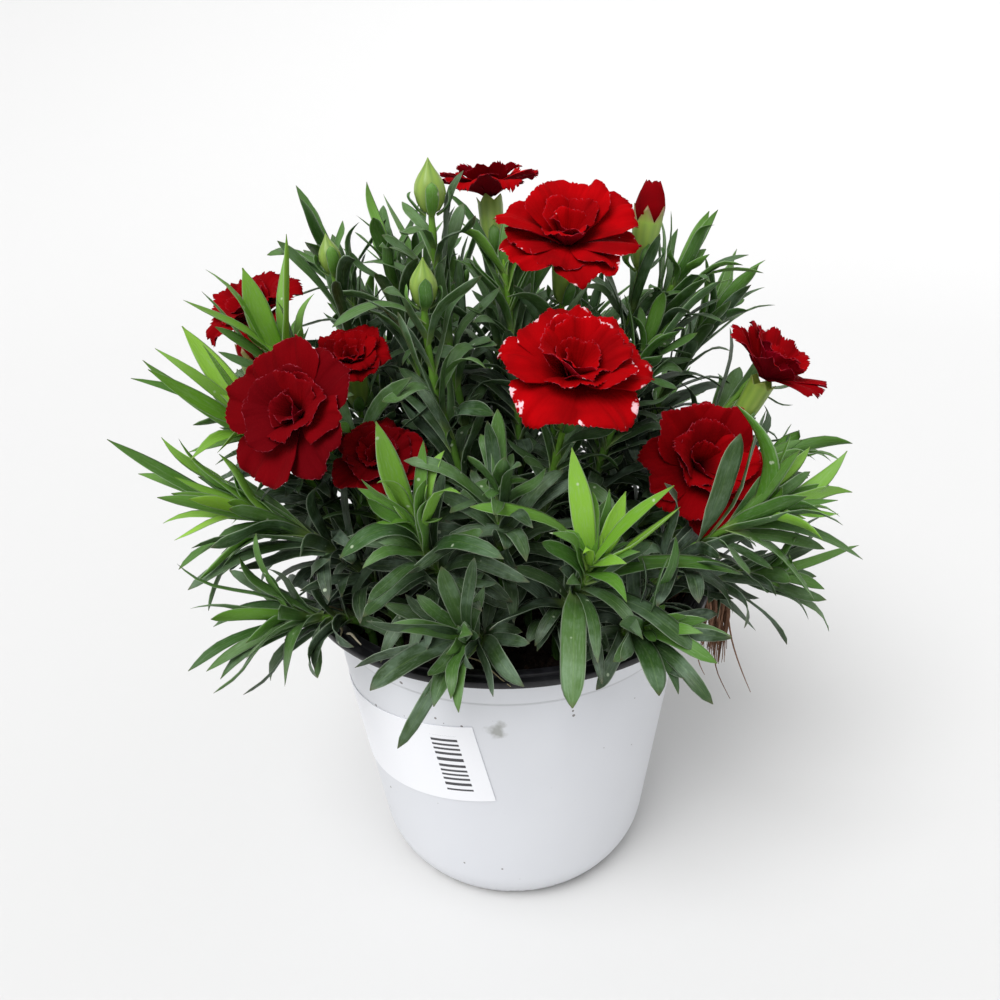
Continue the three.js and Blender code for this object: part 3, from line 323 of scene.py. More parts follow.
# %% Leaves by rule
TRIES = [
    (0, 0, 1, 0), (14, 0, 1, 0), (-14, 0, 1, 0), (0, 9, 1, 0.1), (0, -8, 1, 0), (27, 0, 1, 0),
    (-27, 0, 1, 0), (14, 10, 0.88, 0.1), (-14, 10, 0.88, 0.1), (0, -10, 0.85, 0), (38, 0, 0.85, 0),
    (-38, 0, 0.85, 0), (20, 18, 0.8, 0.2), (-20, 18, 0.8, 0.2), (0, 26, 0.8, 0.3), (0, 0, 0.66, 0),
    (30, 12, 0.62, 0.1), (-30, 12, 0.62, 0.1),
]
NUDGES = [
    (0, 0, 0), (0, -3, 2), (3, -2, 1), (-3, -2, 1), (0, -6, 4), (0, 2, 5), (5, -4, 0), (-5, -4, 0),
    (0, -8, -3), (6, 0, 6), (-6, 0, 6), (0, -4, 9), (8, -6, 3), (-8, -6, 3), (0, -12, 0),
]
TIP_TOLERANCE = 0.05  # mm
MOST_TWIST = math.radians(45)
LEAST_OPENING = 9  # degrees
PUSHES = (0, 2, 4)  # how far a placed leaf first bows away from its stem, mm
LONG_LEAF = 40  # from this length on a blade has its first ring nearer its root, mm
KEEL_DEPTH = 0.54  # mm


def corners(node):
    """The corners of a solid in millimetres."""
    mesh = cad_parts[node].data
    flat = np.empty(len(mesh.vertices) * 3, np.float32)
    mesh.vertices.foreach_get("co", flat)
    return flat.reshape(-1, 3).astype(float) / MM


def found(tip, among):
    return np.min(np.sum((among - tip) ** 2, axis=1)) < TIP_TOLERANCE**2


def sideways(stem, axis, degrees):
    """The direction square to the stem at an angle round it, counted from the side that it leans to."""
    out = square_to(stem["out"], axis)
    return out * math.cos(math.radians(degrees)) + np.cross(axis, out) * math.sin(math.radians(degrees))


def rule_leaf(stem, t, away, length, open_angle, droop, width, twist):
    """A leaf that opens away from the stem at place t and droops."""
    axis = heading(stem["path"], t)

    def at(degrees):
        return axis * math.cos(math.radians(degrees)) + away * math.sin(math.radians(degrees))

    start = at(open_angle * 0.55)
    end = unit(at(open_angle * 1.3) - UP * droop)
    root = bezier(stem["path"], t)
    tip = root + start * (length * 0.49) + end * (length * 0.49)
    points = [root, root + start * (length * 0.34), tip - end * (length * 0.34), tip]
    return dict(points=points, side=np.cross(axis, away), width=width, twist=twist)


def placed_leaves(stem, node, tip, face, lift_root, lift_tip, width):
    """Leaves whose tip is known: one for each push and each side of the stem that is still free."""
    axis = heading(stem["path"], stem["nodes"][node])
    root = bezier(stem["path"], stem["nodes"][node])
    along = unit(tip - root)
    lift = square_to(face, along)
    wanted = np.cross(lift, along)
    used = [leaf["quarter"] for leaf in stem["leaves"] if leaf["node"] == node]
    for push in PUSHES:
        for quarter in (q for q in range(4) if q not in used):
            out = sideways(stem, axis, quarter * 90)
            side = square_to(np.cross(axis, out), along)
            twist = math.atan2(np.cross(side, wanted) @ along, side @ wanted)
            first = root + (tip - root) * 0.33 + lift * lift_root + out * push
            second = root + (tip - root) * 0.67 + lift * lift_tip
            yield dict(points=[root, first, second, tip], side=side, width=width, node=node, quarter=quarter,
                       twist=max(-MOST_TWIST, min(MOST_TWIST, twist)), placed=True)


def blade_across(leaf, side, u):
    """The direction across a blade at place u, from its side before the twist."""
    angle = leaf["twist"] * min(1, 2.2 * u)
    return side * math.cos(angle) + np.cross(heading(leaf["points"], u), side) * math.sin(angle)


def first_keel(leaf):
    """The keel of the first ring of a blade's solid."""
    points = leaf["points"]
    u = 0.2 if np.linalg.norm(points[3] - points[0]) >= LONG_LEAF else 0.27
    side = square_to(square_to(leaf["side"], heading(points, 0)), heading(points, u))
    face = np.cross(heading(points, u), blade_across(leaf, side, u))
    return bezier(points, u) - face * KEEL_DEPTH


def grow(stem):
    """Gives a stem the leaves that its solid has."""
    among = corners(stem["name"])
    for node, tip, *rest in PLACED.get(stem["name"], []):
        tries = (leaf for nudge in NUDGES for leaf in placed_leaves(stem, node, vec(*tip) + nudge, *rest))
        same = (leaf for leaf in tries if found(leaf["points"][3], among) and found(first_keel(leaf), among))
        leaf = next(same, None)
        if leaf:
            stem["leaves"].append(leaf)
    draw = make_draw(stem["seed"])
    last = len(stem["nodes"]) - 1
    for node in range(last, -1, -1):
        share = node / last
        t = stem["nodes"][node]
        for quarter in (node % 2, node % 2 + 2):
            turn = (draw() - 0.5) * 24
            opening = stem["open"][0] + (stem["open"][1] - stem["open"][0]) * share + (draw() - 0.5) * 14
            droop = 0.95 * (1 - share) ** 1.4 * (0.5 + draw())
            length = stem["leaf"] * (0.86 + 0.28 * draw()) * (0.84 + 0.5 * share * (1 - share))
            width = 7 + 1.8 * draw() - 1.1 * share
            twist = (draw() - 0.5) * 0.9
            if any(leaf["node"] == node and leaf["quarter"] == quarter for leaf in stem["leaves"]):
                continue
            for more_turn, more_open, part, more_droop in TRIES:
                away = sideways(stem, heading(stem["path"], t), quarter * 90 + turn + more_turn)
                angle = max(LEAST_OPENING, opening + more_open)
                leaf = rule_leaf(stem, t, away, length * part, angle, droop + more_droop, width, twist)
                if found(leaf["points"][3], among):
                    stem["leaves"].append(dict(leaf, node=node, quarter=quarter))
                    break


for stem in stems:
    grow(stem)
print("leaves found again:", sum(len(stem["leaves"]) for stem in stems))

# %% [markdown]
# The solids carry the large leaves. The living plant is denser: smaller leaves stand between the pairs, and
# each shoot ends in a tight fan of young ones. They are drawn by the same kind of rule, with a seed for
# each stem, and one that would run into a bloom, a bud or the pot, or out of the model's own reach, is left
# out.

# %% Small leaves between the large ones
RIM_RADIUS = 70
POT_HEIGHT = 112
SMALL_STEPS = 5  # pairs of small leaves between two nodes
TIP_PAIRS = 3  # pairs of young leaves at the end of a shoot
OPEN_SOIL_RADIUS = 58  # nothing of the pot is nearer to the middle, mm
CLEARANCE = 2  # mm from the rim
BLOOM_BELOW, BLOOM_ABOVE = 3, 16  # mm from a bloom's centre, along its axis


def clear_of_blooms(points):
    for row in BLOOMS.values():
        centre, axis = vec(*row["centre"]), unit(vec(*row["face"]))
        for p in points:
            height = (p - centre) @ axis
            radial = np.linalg.norm(p - centre - axis * height)
            if -BLOOM_BELOW < height < BLOOM_ABOVE and radial < row["radius"] * 1.02:
                return False
    return True


def clear_of_pot(points):
    low, high = np.array(solid_low) / MM, np.array(solid_high) / MM
    for p in points:
        r = math.hypot(p[0], p[1])
        if OPEN_SOIL_RADIUS < r < RIM_RADIUS + CLEARANCE and p[2] < POT_HEIGHT + CLEARANCE:
            return False
        if r <= OPEN_SOIL_RADIUS and p[2] < SOIL_Z + 1 or np.any(p < low + 1) or np.any(p > high - 1):
            return False
    return True


def clear_of_ends(points):
    """True where no point is in a bud or a calyx."""
    for stem in stems:
        end = stem["end"]
        if end:
            for p in points:
                height = (p - end["base"]) @ end["axis"]
                radial = np.linalg.norm(p - end["base"] - end["axis"] * height)
                if -1 < height < end["length"] + 12 and radial < end.get("radius", CALYX_RADIUS) + 1.6:
                    return False
    return True


def small_leaves(stem, seed):
    draw = make_draw(seed)
    made = []

    def try_leaf(t, quarter, length, opening, droop, width):
        away = sideways(stem, heading(stem["path"], t), quarter * 90 + (draw() - 0.5) * 60)
        leaf = rule_leaf(stem, t, away, length, opening, droop, width, (draw() - 0.5) * 1.1)
        points = [bezier(leaf["points"], u) for u in (0.35, 0.5, 0.65, 0.8, 0.9, 1)]
        if clear_of_blooms(points) and clear_of_pot(points) and clear_of_ends(points):
            made.append(dict(leaf, place=t, small=True))

    steps = SMALL_STEPS * (len(stem["nodes"]) - 1)
    first, last = stem["nodes"][0] * 0.5, stem["nodes"][-1]
    for i in range(steps):
        t = first + (last - first) * (i + 0.7 * draw()) / steps
        for quarter in (i % 2, i % 2 + 2):
            opening = 62 - 32 * t + (draw() - 0.5) * 44
            length = stem["leaf"] * (0.66 + 0.56 * draw())
            droop = 1.9 * (1.1 - t) * draw() ** 1.3
            try_leaf(t, quarter, length, opening, droop, 4 + 1.7 * draw())
    if stem["name"].startswith("shoot"):
        for i in range(TIP_PAIRS):
            for quarter in (i % 2, i % 2 + 2):
                length = stem["leaf"] * (0.62 - 0.17 * i) * (0.75 + 0.4 * draw())
                try_leaf(1, quarter + 0.5, length, 30 - 9 * i + 16 * draw(), 0.3 * draw(), 4.6 - 0.9 * i)
    return made


for number, stem in enumerate(stems):
    stem["small"] = small_leaves(stem, SEEDS["small leaves"] + 13 * number)
print("small leaves:", sum(len(stem["small"]) for stem in stems))

# %% [markdown]
# ## Leaves and stems as Geometry Nodes
# A blade is a narrow band that follows a line, with raised edges and a keel, and a stem is a round band that
# follows one too. Both are made by one node tree: it sweeps a small ring along each line and then moves every
# corner to its own place across and above the line. Sculpting hundreds of blades by hand would take days, and
# copying one blade would make them all alike. Here each line carries its own width, thickness and age.

# %% The sweep tree


def sweep_tree():
    tree, given = new_tree("blade_and_stem_sweep", {"Ring Points": "Int", "Skin": "Material"})
    lines = add(tree, "GeometryNodeMeshToCurve", None, {"Mesh": given.outputs["Geometry"]})
    place = add(tree, "GeometryNodeInputPosition")
    kept = add(tree, "GeometryNodeStoreNamedAttribute", {"data_type": "FLOAT_VECTOR"},
               {"Geometry": lines, "Name": "centre", "Value": place})
    ring = add(tree, "GeometryNodeCurvePrimitiveCircle", None,
               {"Resolution": given.outputs["Ring Points"], "Radius": 1.0})
    parts = add(tree, "ShaderNodeSeparateXYZ", None, {0: place})
    across = add(tree, "GeometryNodeStoreNamedAttribute", {"data_type": "FLOAT"},
                 {"Geometry": ring, "Name": "across", "Value": parts})
    above = add(tree, "GeometryNodeStoreNamedAttribute", {"data_type": "FLOAT"},
                {"Geometry": across, "Name": "above", "Value": parts.outputs[1]})
    band = add(tree, "GeometryNodeCurveToMesh", None,
               {"Curve": kept, "Profile Curve": above, "Fill Caps": True})
    read = {}
    for name in ("centre", "side", "face"):
        read[name] = add(tree, "GeometryNodeInputNamedAttribute", {"data_type": "FLOAT_VECTOR"},
                         {"Name": name})
    for name in ("across", "above", "half", "thick", "channel"):
        read[name] = add(tree, "GeometryNodeInputNamedAttribute", {"data_type": "FLOAT"}, {"Name": name})
    width = add(tree, "ShaderNodeMath", {"operation": "MULTIPLY"}, {0: read["across"], 1: read["half"]})
    square = add(tree, "ShaderNodeMath", {"operation": "MULTIPLY"}, {0: read["across"], 1: read["across"]})
    raised = add(tree, "ShaderNodeMath", {"operation": "MULTIPLY"}, {0: square, 1: read["channel"]})
    height = add(tree, "ShaderNodeMath", {"operation": "MULTIPLY_ADD"},
                 {0: read["above"], 1: read["thick"], 2: raised})
    sideways_move = add(tree, "ShaderNodeVectorMath", {"operation": "SCALE"},
                        {0: read["side"], "Scale": width})
    upward_move = add(tree, "ShaderNodeVectorMath", {"operation": "SCALE"},
                      {0: read["face"], "Scale": height})
    moves = add(tree, "ShaderNodeVectorMath", {"operation": "ADD"}, {0: sideways_move, 1: upward_move})
    total = add(tree, "ShaderNodeVectorMath", {"operation": "ADD"}, {0: read["centre"], 1: moves})
    moved = add(tree, "GeometryNodeSetPosition", None, {"Geometry": band, "Position": total})
    smooth = add(tree, "GeometryNodeSetShadeSmooth", None, {0: moved})
    real = add(tree, "GeometryNodeRealizeInstances", None, {0: smooth})
    skin = add(tree, "GeometryNodeSetMaterial", None, {"Geometry": real, "Material": given.outputs["Skin"]})
    add(tree, "NodeGroupOutput", None, {0: skin})
    return tree


SWEEP = sweep_tree()


def run_tree(mesh, tree, values):
    """Runs a node tree on a mesh, with its inputs given by name, and returns the result as a plain mesh."""
    carrier = bpy.data.objects.new("carrier", mesh)
    bpy.context.scene.collection.objects.link(carrier)
    modifier = carrier.modifiers.new("tree", "NODES")
    modifier.node_group = tree
    for item in tree.interface.items_tree:
        if item.in_out == "INPUT" and item.name in values:
            modifier[item.identifier] = values[item.name]
    graph = bpy.context.evaluated_depsgraph_get()
    made = bpy.data.meshes.new_from_object(carrier.evaluated_get(graph), preserve_all_data_layers=True,
                                           depsgraph=graph)
    carrier.modifiers.remove(modifier)
    bpy.data.objects.remove(carrier)
    bpy.data.meshes.remove(mesh)
    turn_outwards(made)
    return made


def turn_outwards(mesh):
    """Turns the faces of closed bodies outwards."""
    loose = bmesh.new()
    loose.from_mesh(mesh)
    bmesh.ops.recalc_face_normals(loose, faces=loose.faces)
    loose.to_mesh(mesh)
    loose.free()


# %% [markdown]
# Each line is a row of stations. A station holds its place, the direction across the blade and the one
# above it, half the width, half the thickness, how far the edges stand over the middle, how far along the
# leaf it is, and how young the leaf is, a number that carries painted light and shade too. A few of these
# numbers later steer the colour as well.

# %% Lines for blades and stems
BLADE_STATIONS = 15
SMALL_STATIONS = 9
# The living blades are narrower than the solids: the ones placed by hand a little, the others more.
PLACED_SHARE = 0.84
RULE_SHARE = 0.64
SMALL_SHARE = 0.84  # of a small leaf's own width
SCALARS = ("half", "thick", "channel", "along", "young", "shade", "stem")


def blank_lines():
    return dict(points=[], edges=[], side=[], face=[], **{name: [] for name in SCALARS})


def add_station(lines, point, side, face, joined, **scalars):
    lines["points"].append(point * MM)
    lines["side"].append(side)
    lines["face"].append(face)
    for name in SCALARS:
        lines[name].append(scalars.get(name, 0.0))
    if joined:
        lines["edges"].append((len(lines["points"]) - 2, len(lines["points"]) - 1))


def blade_share(u, blunt):
    """The share of a blade's full width at place u: a narrow base, a strap and a pointed or blunt tip."""
    tip = max(0, (u - 0.56) / 0.44)
    strap = np.interp(u, (0, 0.1, 0.25, 0.45), (0.5, 0.6 + 0.1 * blunt, 0.86 + 0.12 * blunt, 1))
    return max(0.05, strap * (1 - tip ** (1.7 + 7 * blunt**1.5)))


def add_blade(lines, leaf, young, draw):
    stations = SMALL_STATIONS if leaf.get("small") else BLADE_STATIONS
    blunt = (0.5 + 0.5 * draw()) * (1 - min(1, 1.4 * young))
    side = leaf["side"]
    shade = draw()
    wave, phase = 0.02 + 0.05 * draw(), 6.3 * draw()
    share = PLACED_SHARE if leaf.get("placed") else RULE_SHARE * (0.88 + 0.24 * draw())
    if leaf.get("small"):
        share = SMALL_SHARE
    loose = 0.4 if leaf.get("placed") else 1.0
    sway = (2.2 + 1.4 * blunt) * loose * (2 * draw() - 1)  # mm up and down along the blade
    hook = 3.6 * loose * draw() ** 2  # mm that the tip hangs lower
    roll = (1.2 + blunt) * (draw() - 0.5)  # further turn towards the tip
    fold = 0.1 + 0.16 * draw() + 0.16 * young
    for i in range(stations):
        u = 1 - (1 - i / (stations - 1)) ** 1.35  # closer together near the tip
        along = heading(leaf["points"], u)
        side = square_to(side, along)
        across = blade_across(leaf, side, u)
        across = across * math.cos(roll * u * u) + np.cross(along, across) * math.sin(roll * u * u)
        face = np.cross(along, across)
        half = leaf["width"] * share / 2 * blade_share(u, blunt)
        point = bezier(leaf["points"], u) + across * (half * wave * 4 * math.sin(7 * u + phase) * u * (1 - u))
        point = point + face * (sway * math.sin(2 * math.pi * u) * u) - UP * (hook * u**3)
        add_station(lines, point, across, face, i > 0, half=half * MM,
                    thick=(0.2 + 0.24 * (1 - u) ** 2) * MM * min(1, half), channel=fold * half * MM,
                    along=u, young=young, shade=shade)


def add_stem(lines, stem):
    """The stem's line: straight up from its foot, then along its curve, thicker at its nodes."""
    side = square_to(stem["out"], UP)
    places = sorted(set(np.round(np.linspace(0, 1, 19), 4)))
    for t in stem["nodes"]:
        places += [t - 0.028, t - 0.01, t + 0.01, t + 0.028]
    places = [t for t in sorted(places) if 0 <= t <= 1]
    foot = vec(stem["foot"][0], stem["foot"][1], FOOT_Z)
    radius = stem["radius"] * MM
    add_station(lines, foot, side, np.cross(UP, side), False, half=radius, thick=radius, young=0.2, shade=0.5,
                stem=1.0)
    for t in places:
        axis = heading(stem["path"], t)
        side = square_to(side, axis)
        swell = max((math.exp(-(((t - node) / 0.022) ** 2)) for node in stem["nodes"]), default=0)
        radius = stem["radius"] * (1 - STEM_TAPER * t) * (1 + 0.3 * swell)
        add_station(lines, bezier(stem["path"], t), side, np.cross(axis, side), True, half=radius * MM,
                    thick=radius * MM, along=swell, young=0.25 + 0.5 * t, shade=0.5, stem=1.0)
    if not stem["end"]:
        axis = heading(stem["path"], 1)
        tip = bezier(stem["path"], 1) + axis * (NODE_LENGTH + 2)
        add_station(lines, tip, side, np.cross(axis, side), True, half=0.3 * MM, thick=0.3 * MM, young=1.0,
                    shade=0.5, stem=1.0)


def line_mesh(name, lines):
    mesh = bpy.data.meshes.new(name)
    mesh.from_pydata(lines["points"], lines["edges"], [])
    for key in ("side", "face"):
        mesh.attributes.new(key, "FLOAT_VECTOR", "POINT").data.foreach_set("vector", np.ravel(lines[key]))
    for key in SCALARS:
        mesh.attributes.new(key, "FLOAT", "POINT").data.foreach_set("value", lines[key])
    return mesh


# %% [markdown]
# ## Green skins
# A pink's leaf has a thick cuticle with a thin grey wax bloom on it, so it is matt, blue-green and a little
# uneven, with a fine pale edge. Young leaves have no bloom yet and are a bright yellow-green with a light
# middle line, and the very tip of a leaf is often dry and dark. The numbers that the lines carry decide how
# much of each shows. The calyx and buds have a smoother, lighter skin with fine ribs.

# %% Leaf cuticle


def leaf_cuticle():
    skin, tree = new_material("waxy_leaf_cuticle")
    place = add(tree, "ShaderNodeTexCoord").outputs["Object"]
    value = {}
    for name in ("along", "across", "young", "shade", "stem"):
        value[name] = add(tree, "ShaderNodeAttribute", {"attribute_name": name}).outputs["Fac"]
    blade = add(tree, "ShaderNodeMath", {"operation": "SUBTRACT"}, {0: 1.0, 1: value["stem"]})

    patch = add(tree, "ShaderNodeTexNoise", None,
                {"Vector": place, "Scale": 1 / (9 * MM), "Detail": 4.0, "Roughness": 0.6})
    # The streaks run along the leaf, and the leaf's own shade gives each leaf other ones.
    own_place = add(tree, "ShaderNodeCombineXYZ", None, {
        way: add(tree, "ShaderNodeMath", {"operation": "MULTIPLY"}, {0: value[key], 1: scale})
        for way, (key, scale) in enumerate((("across", 7.0), ("along", 11.0), ("shade", 90.0)))})
    streaks = add(tree, "ShaderNodeTexNoise", None,
                  {"Vector": own_place, "Scale": 1.0, "Detail": 5.0, "Roughness": 0.7})
    far = add(tree, "ShaderNodeMath", {"operation": "ABSOLUTE"}, {0: value["across"]})
    # Each layer of colour goes over the last: what steers it, from where to where, how much, and its hue.
    old, grown, fresh = (
        add(tree, "ShaderNodeMix", {"data_type": "RGBA"},
            {0: value["shade"], 6: colour(dark), 7: colour(light)}).outputs[2]
        for dark, light in (("172615", "344a2c"), ("2f561c", "58862c"), ("578c1c", "8aba36")))
    layers = [
        # Oldest, lowest leaves go near-black: partly their age, partly painted shade inside the cushion.
        (value["young"], 0.12, 0.0, 0.6, colour("0c160b"), False),
        (patch, 0.46, 0.7, 0.5, colour("7b9080"), False),
        (value["young"], 0.0, 0.4, 1.0, grown, False),
        (value["young"], 0.4, 0.95, 1.0, fresh, False),
        (streaks, 0.5, 0.8, 0.3, colour("93a591"), False),
        (far, 0.88, 1.0, 0.7, colour("abbaa2"), True),
        (far, 0.1, 0.0, 0.1, colour("8fb066"), True),
        (value["along"], 0.2, 0.03, 0.6, colour("86a14e"), True),
        (value["along"], 0.95, 1.0, 0.5, colour("51462f"), True),
    ]
    over = old
    for steer, low, high, most, hue, blade_only in layers:
        share = add(tree, "ShaderNodeMapRange", None, {0: steer, 1: low, 2: high, 3: 0.0, 4: most})
        if blade_only:
            share = add(tree, "ShaderNodeMath", {"operation": "MULTIPLY"}, {0: share, 1: blade})
        over = add(tree, "ShaderNodeMix", {"data_type": "RGBA"}, {0: share, 6: over, 7: hue}).outputs[2]
    dots = add(tree, "ShaderNodeTexVoronoi", None, {"Vector": place, "Scale": 1 / (7 * MM)})
    dot = add(tree, "ShaderNodeMapRange", None,
              {0: dots.outputs["Distance"], 1: 0.09, 2: 0.05, 3: 0.0, 4: 0.7})
    flecked = add(tree, "ShaderNodeMix", {"data_type": "RGBA"}, {0: dot, 6: over, 7: colour("b4c2a6")})
    veined = add(tree, "ShaderNodeMath", {"operation": "MULTIPLY"}, {0: value["across"], 1: 20.0})
    veins = add(tree, "ShaderNodeMath", {"operation": "SINE"}, {0: veined})
    grain = add(tree, "ShaderNodeMath", {"operation": "MULTIPLY_ADD"}, {0: streaks, 1: 5.0, 2: veins})
    bump = add(tree, "ShaderNodeBump", None, {"Strength": 0.16, "Distance": 0.12 * MM, "Height": grain})
    rough = add(tree, "ShaderNodeMapRange", None, {0: patch, 1: 0.3, 2: 0.7, 3: 0.42, 4: 0.6})
    shader = add(tree, "ShaderNodeBsdfPrincipled", None, {
        "Base Color": flecked.outputs[2], "Roughness": rough, "IOR": 1.45,
        "Normal": bump, "Specular IOR Level": 0.4})
    add(tree, "ShaderNodeOutputMaterial", None, {"Surface": shader})
    return skin


LEAF = leaf_cuticle()

# %% Calyx skin


def calyx_skin():
    skin, tree = new_material("smooth_calyx_skin")
    place = add(tree, "ShaderNodeTexCoord").outputs["Object"]
    along, ribs, blush = (add(tree, "ShaderNodeAttribute", {"attribute_name": key}).outputs["Fac"]
                          for key in ("along", "ribs", "blush"))
    patch = add(tree, "ShaderNodeTexNoise", None, {"Vector": place, "Scale": 1 / (6 * MM)})
    over = colour("6f8f3c")
    for share, hue in ((along, "7fa02e"), (patch, "93a94f"), (ribs, "4f7433"), (blush, "7c4a44")):
        over = add(tree, "ShaderNodeMix", {"data_type": "RGBA"},
                   {0: share, 6: over, 7: colour(hue)}).outputs[2]
    shader = add(tree, "ShaderNodeBsdfPrincipled", None, {
        "Base Color": over, "Roughness": 0.42, "IOR": 1.45, "Subsurface Weight": 0.12,
        "Subsurface Radius": (0.6, 1.0, 0.3), "Subsurface Scale": 1.5 * MM})
    add(tree, "ShaderNodeOutputMaterial", None, {"Surface": shader})
    return skin


CALYX = calyx_skin()

# %% [markdown]
# ## Calyx and buds
# A pink's bloom sits in a tubular calyx with five pointed teeth and a few scales at its foot. A closed bud
# is the same tube, swollen and shut. Both are turned shapes whose wall is pushed in and out by a formula,
# so their points are worked out directly, ring by ring, from the profile of the solid.

# %% Turned shapes with teeth and ribs
RING_SIDES = 40
RING_ANGLES = np.linspace(0, 2 * math.pi, RING_SIDES, endpoint=False)
TEETH = 5
TOOTH_RISE = 2.2
CUP_TOOTH_RISE = 5.0
RIBS = 10
CALYX_PROFILE = ((0, 0.05, 0.25, 0.6, 1), (1.6, 2.3, 3.3, 3.8, 4.1))  # radii in mm by share of its length
CUP_SHARE = 0.55  # the green part of an opening bud
ROOT_RING = (0.3, 1.6, {"along": 0})  # every calyx and bud begins as wide as its stem


def axes_of(t):
    """Two unit vectors square to the unit vector t and to each other."""
    first = square_to(vec(1, 0, 0) if abs(t[0]) < 0.9 else vec(0, 1, 0), t)
    return first, np.cross(t, first)


def ring_faces(rings, sides):
    """The faces between rings of points, each ring with the same number of sides."""
    faces = []
    for i in range(rings - 1):
        for k in range(sides):
            a, b = i * sides + k, i * sides + (k + 1) % sides
            faces.append((a, b, b + sides, a + sides))
    return faces


def turned(base, axis, rings):
    """A closed body from rings of (height, radius, values), each a number or an array over the angle."""
    e1, e2 = axes_of(axis)
    points, values = [], {"along": [], "ribs": [], "blush": []}
    for height, radius, marks in rings:
        heights, radii = np.broadcast_to(height, RING_SIDES), np.broadcast_to(radius, RING_SIDES)
        for a, h, r in zip(RING_ANGLES, heights, radii):
            points.append((base + axis * h + (e1 * math.cos(a) + e2 * math.sin(a)) * r) * MM)
        for key in values:
            values[key] += [float(x) for x in np.broadcast_to(marks.get(key, 0), RING_SIDES)]
    bottom, top = tuple(range(RING_SIDES)), (len(rings) - 1) * RING_SIDES
    faces = ring_faces(len(rings), RING_SIDES) + [bottom[::-1], tuple(top + k for k in bottom)]
    return points, faces, values


def tooth_wave():
    """Goes from 0 between two teeth to 1 at a tooth's tip, round the ring."""
    return 1 - np.abs(RING_ANGLES * TEETH / (2 * math.pi) % 1 * 2 - 1)


def rib_wave():
    return 0.5 + 0.5 * np.cos(RING_ANGLES * RIBS)


def calyx_rings(length, rise, radii, blush):
    """Rings up the outside of a calyx to its toothed edge, and down again inside it."""
    ribs, teeth = rib_wave(), tooth_wave()
    rings = [ROOT_RING]
    for share in (0.06, 0.14, 0.24, 0.4, 0.6, 0.8, 0.94):
        radius = np.interp(share, *radii) * (1 + 0.025 * ribs)
        rings.append((length * share + 0.3, radius, {"along": share, "ribs": 0.35 * ribs}))
    for part in (0.0, 0.35, 0.7, 1.0):
        top = length + rise * teeth * part
        radius = np.interp(1.0, *radii) + 0.5 * teeth * part - 0.15 * part
        rings.append((top, radius, {"along": 1, "ribs": 0.2 * ribs, "blush": blush * part}))
    inner = np.interp(1.0, *radii) - 0.45
    rings.append((length + rise * teeth - 0.1, inner + 0.5 * teeth, {"along": 1, "blush": blush}))
    return rings + [(length - 1.5, inner, {"along": 1}), (length - 2.0, 0.2, {"along": 1})]


def bud_rings(length, radius):
    ribs, seams = rib_wave(), tooth_wave()
    rings = [ROOT_RING]
    profile = ((0, 0.08, 0.2, 0.38, 0.52, 0.66, 0.8, 0.9, 1),
               (0.44, 0.62, 0.86, 1, 0.96, 0.76, 0.42, 0.2, 0.02))
    for share in (0.05, 0.12, 0.2, 0.29, 0.38, 0.46, 0.54, 0.62, 0.7, 0.78, 0.86, 0.93, 1.0):
        r = radius * np.interp(share, *profile) * (1 + 0.02 * ribs - 0.3 * max(0, share - 0.4) * (1 - seams))
        marks = {"along": share, "ribs": 0.3 * ribs + 1.2 * max(0, share - 0.5) * (1 - seams),
                 "blush": 0.5 * max(0, share - 0.8)}
        rings.append((length * share, r, marks))
    return rings


def scale_leaves(stem, draw):
    """The small pointed scales that hug the foot of a calyx or bud."""
    end = stem["end"]
    wall = end.get("radius", CALYX_RADIUS) + 0.7
    scales = []
    for k in range(4):
        turn = k * 90 + 20 * draw()
        e1, e2 = axes_of(end["axis"])
        away = e1 * math.cos(math.radians(turn)) + e2 * math.sin(math.radians(turn))
        length = 6.5 + 2.5 * (k % 2) + draw()
        points = []
        for out, up in ((1.6, -0.5), (wall * 1.25, length * 0.3), (wall * 1.2, length * 0.7),
                        (wall * 1.02, length)):
            points.append(end["base"] + away * out + end["axis"] * up)
        scales.append(dict(points=points, side=np.cross(end["axis"], away), width=4.6, twist=0.0,
                           placed=True))
    return scales


def body_mesh(name, bodies, skin):
    """Joins bodies of (points, faces, values) into one mesh with one material."""
    points, faces, values = [], [], {}
    for more_points, more_faces, more_values in bodies:
        faces += [tuple(i + len(points) for i in face) for face in more_faces]
        points += list(more_points)
        for key, numbers in more_values.items():
            values.setdefault(key, []).extend(numbers)
    mesh = bpy.data.meshes.new(name)
    mesh.from_pydata(points, [], faces)
    for key, numbers in values.items():
        mesh.attributes.new(key, "FLOAT", "POINT").data.foreach_set("value", numbers)
    mesh.materials.append(skin)
    turn_outwards(mesh)
    mesh.shade_smooth()
    return mesh


# %% [markdown]
# ## Leafy stems
# Every stem with its leaves is one piece, as it is on the plant, and stands for the solid of the same name.
# The swept mesh and the calyx or bud are joined in one mesh.

# %% Stem pieces


def place_piece(name, mesh, slot, *nodes):
    """Makes a mesh a piece of the object, which stands for the named solids."""
    piece = bpy.data.objects.new(name, mesh)
    bpy.context.scene.collection.objects.link(piece)
    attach(piece, "root")
    if nodes:
        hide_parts(*nodes)


def join_meshes(name, meshes):
    """Joins meshes with all their attributes and materials."""
    objects = [bpy.data.objects.new(name, mesh) for mesh in meshes]
    for one in objects:
        bpy.context.scene.collection.objects.link(one)
    with bpy.context.temp_override(active_object=objects[0], object=objects[0],
                                   selected_editable_objects=objects):
        bpy.ops.object.join()
    mesh = objects[0].data
    bpy.data.objects.remove(objects[0])
    mesh.name = name
    return mesh
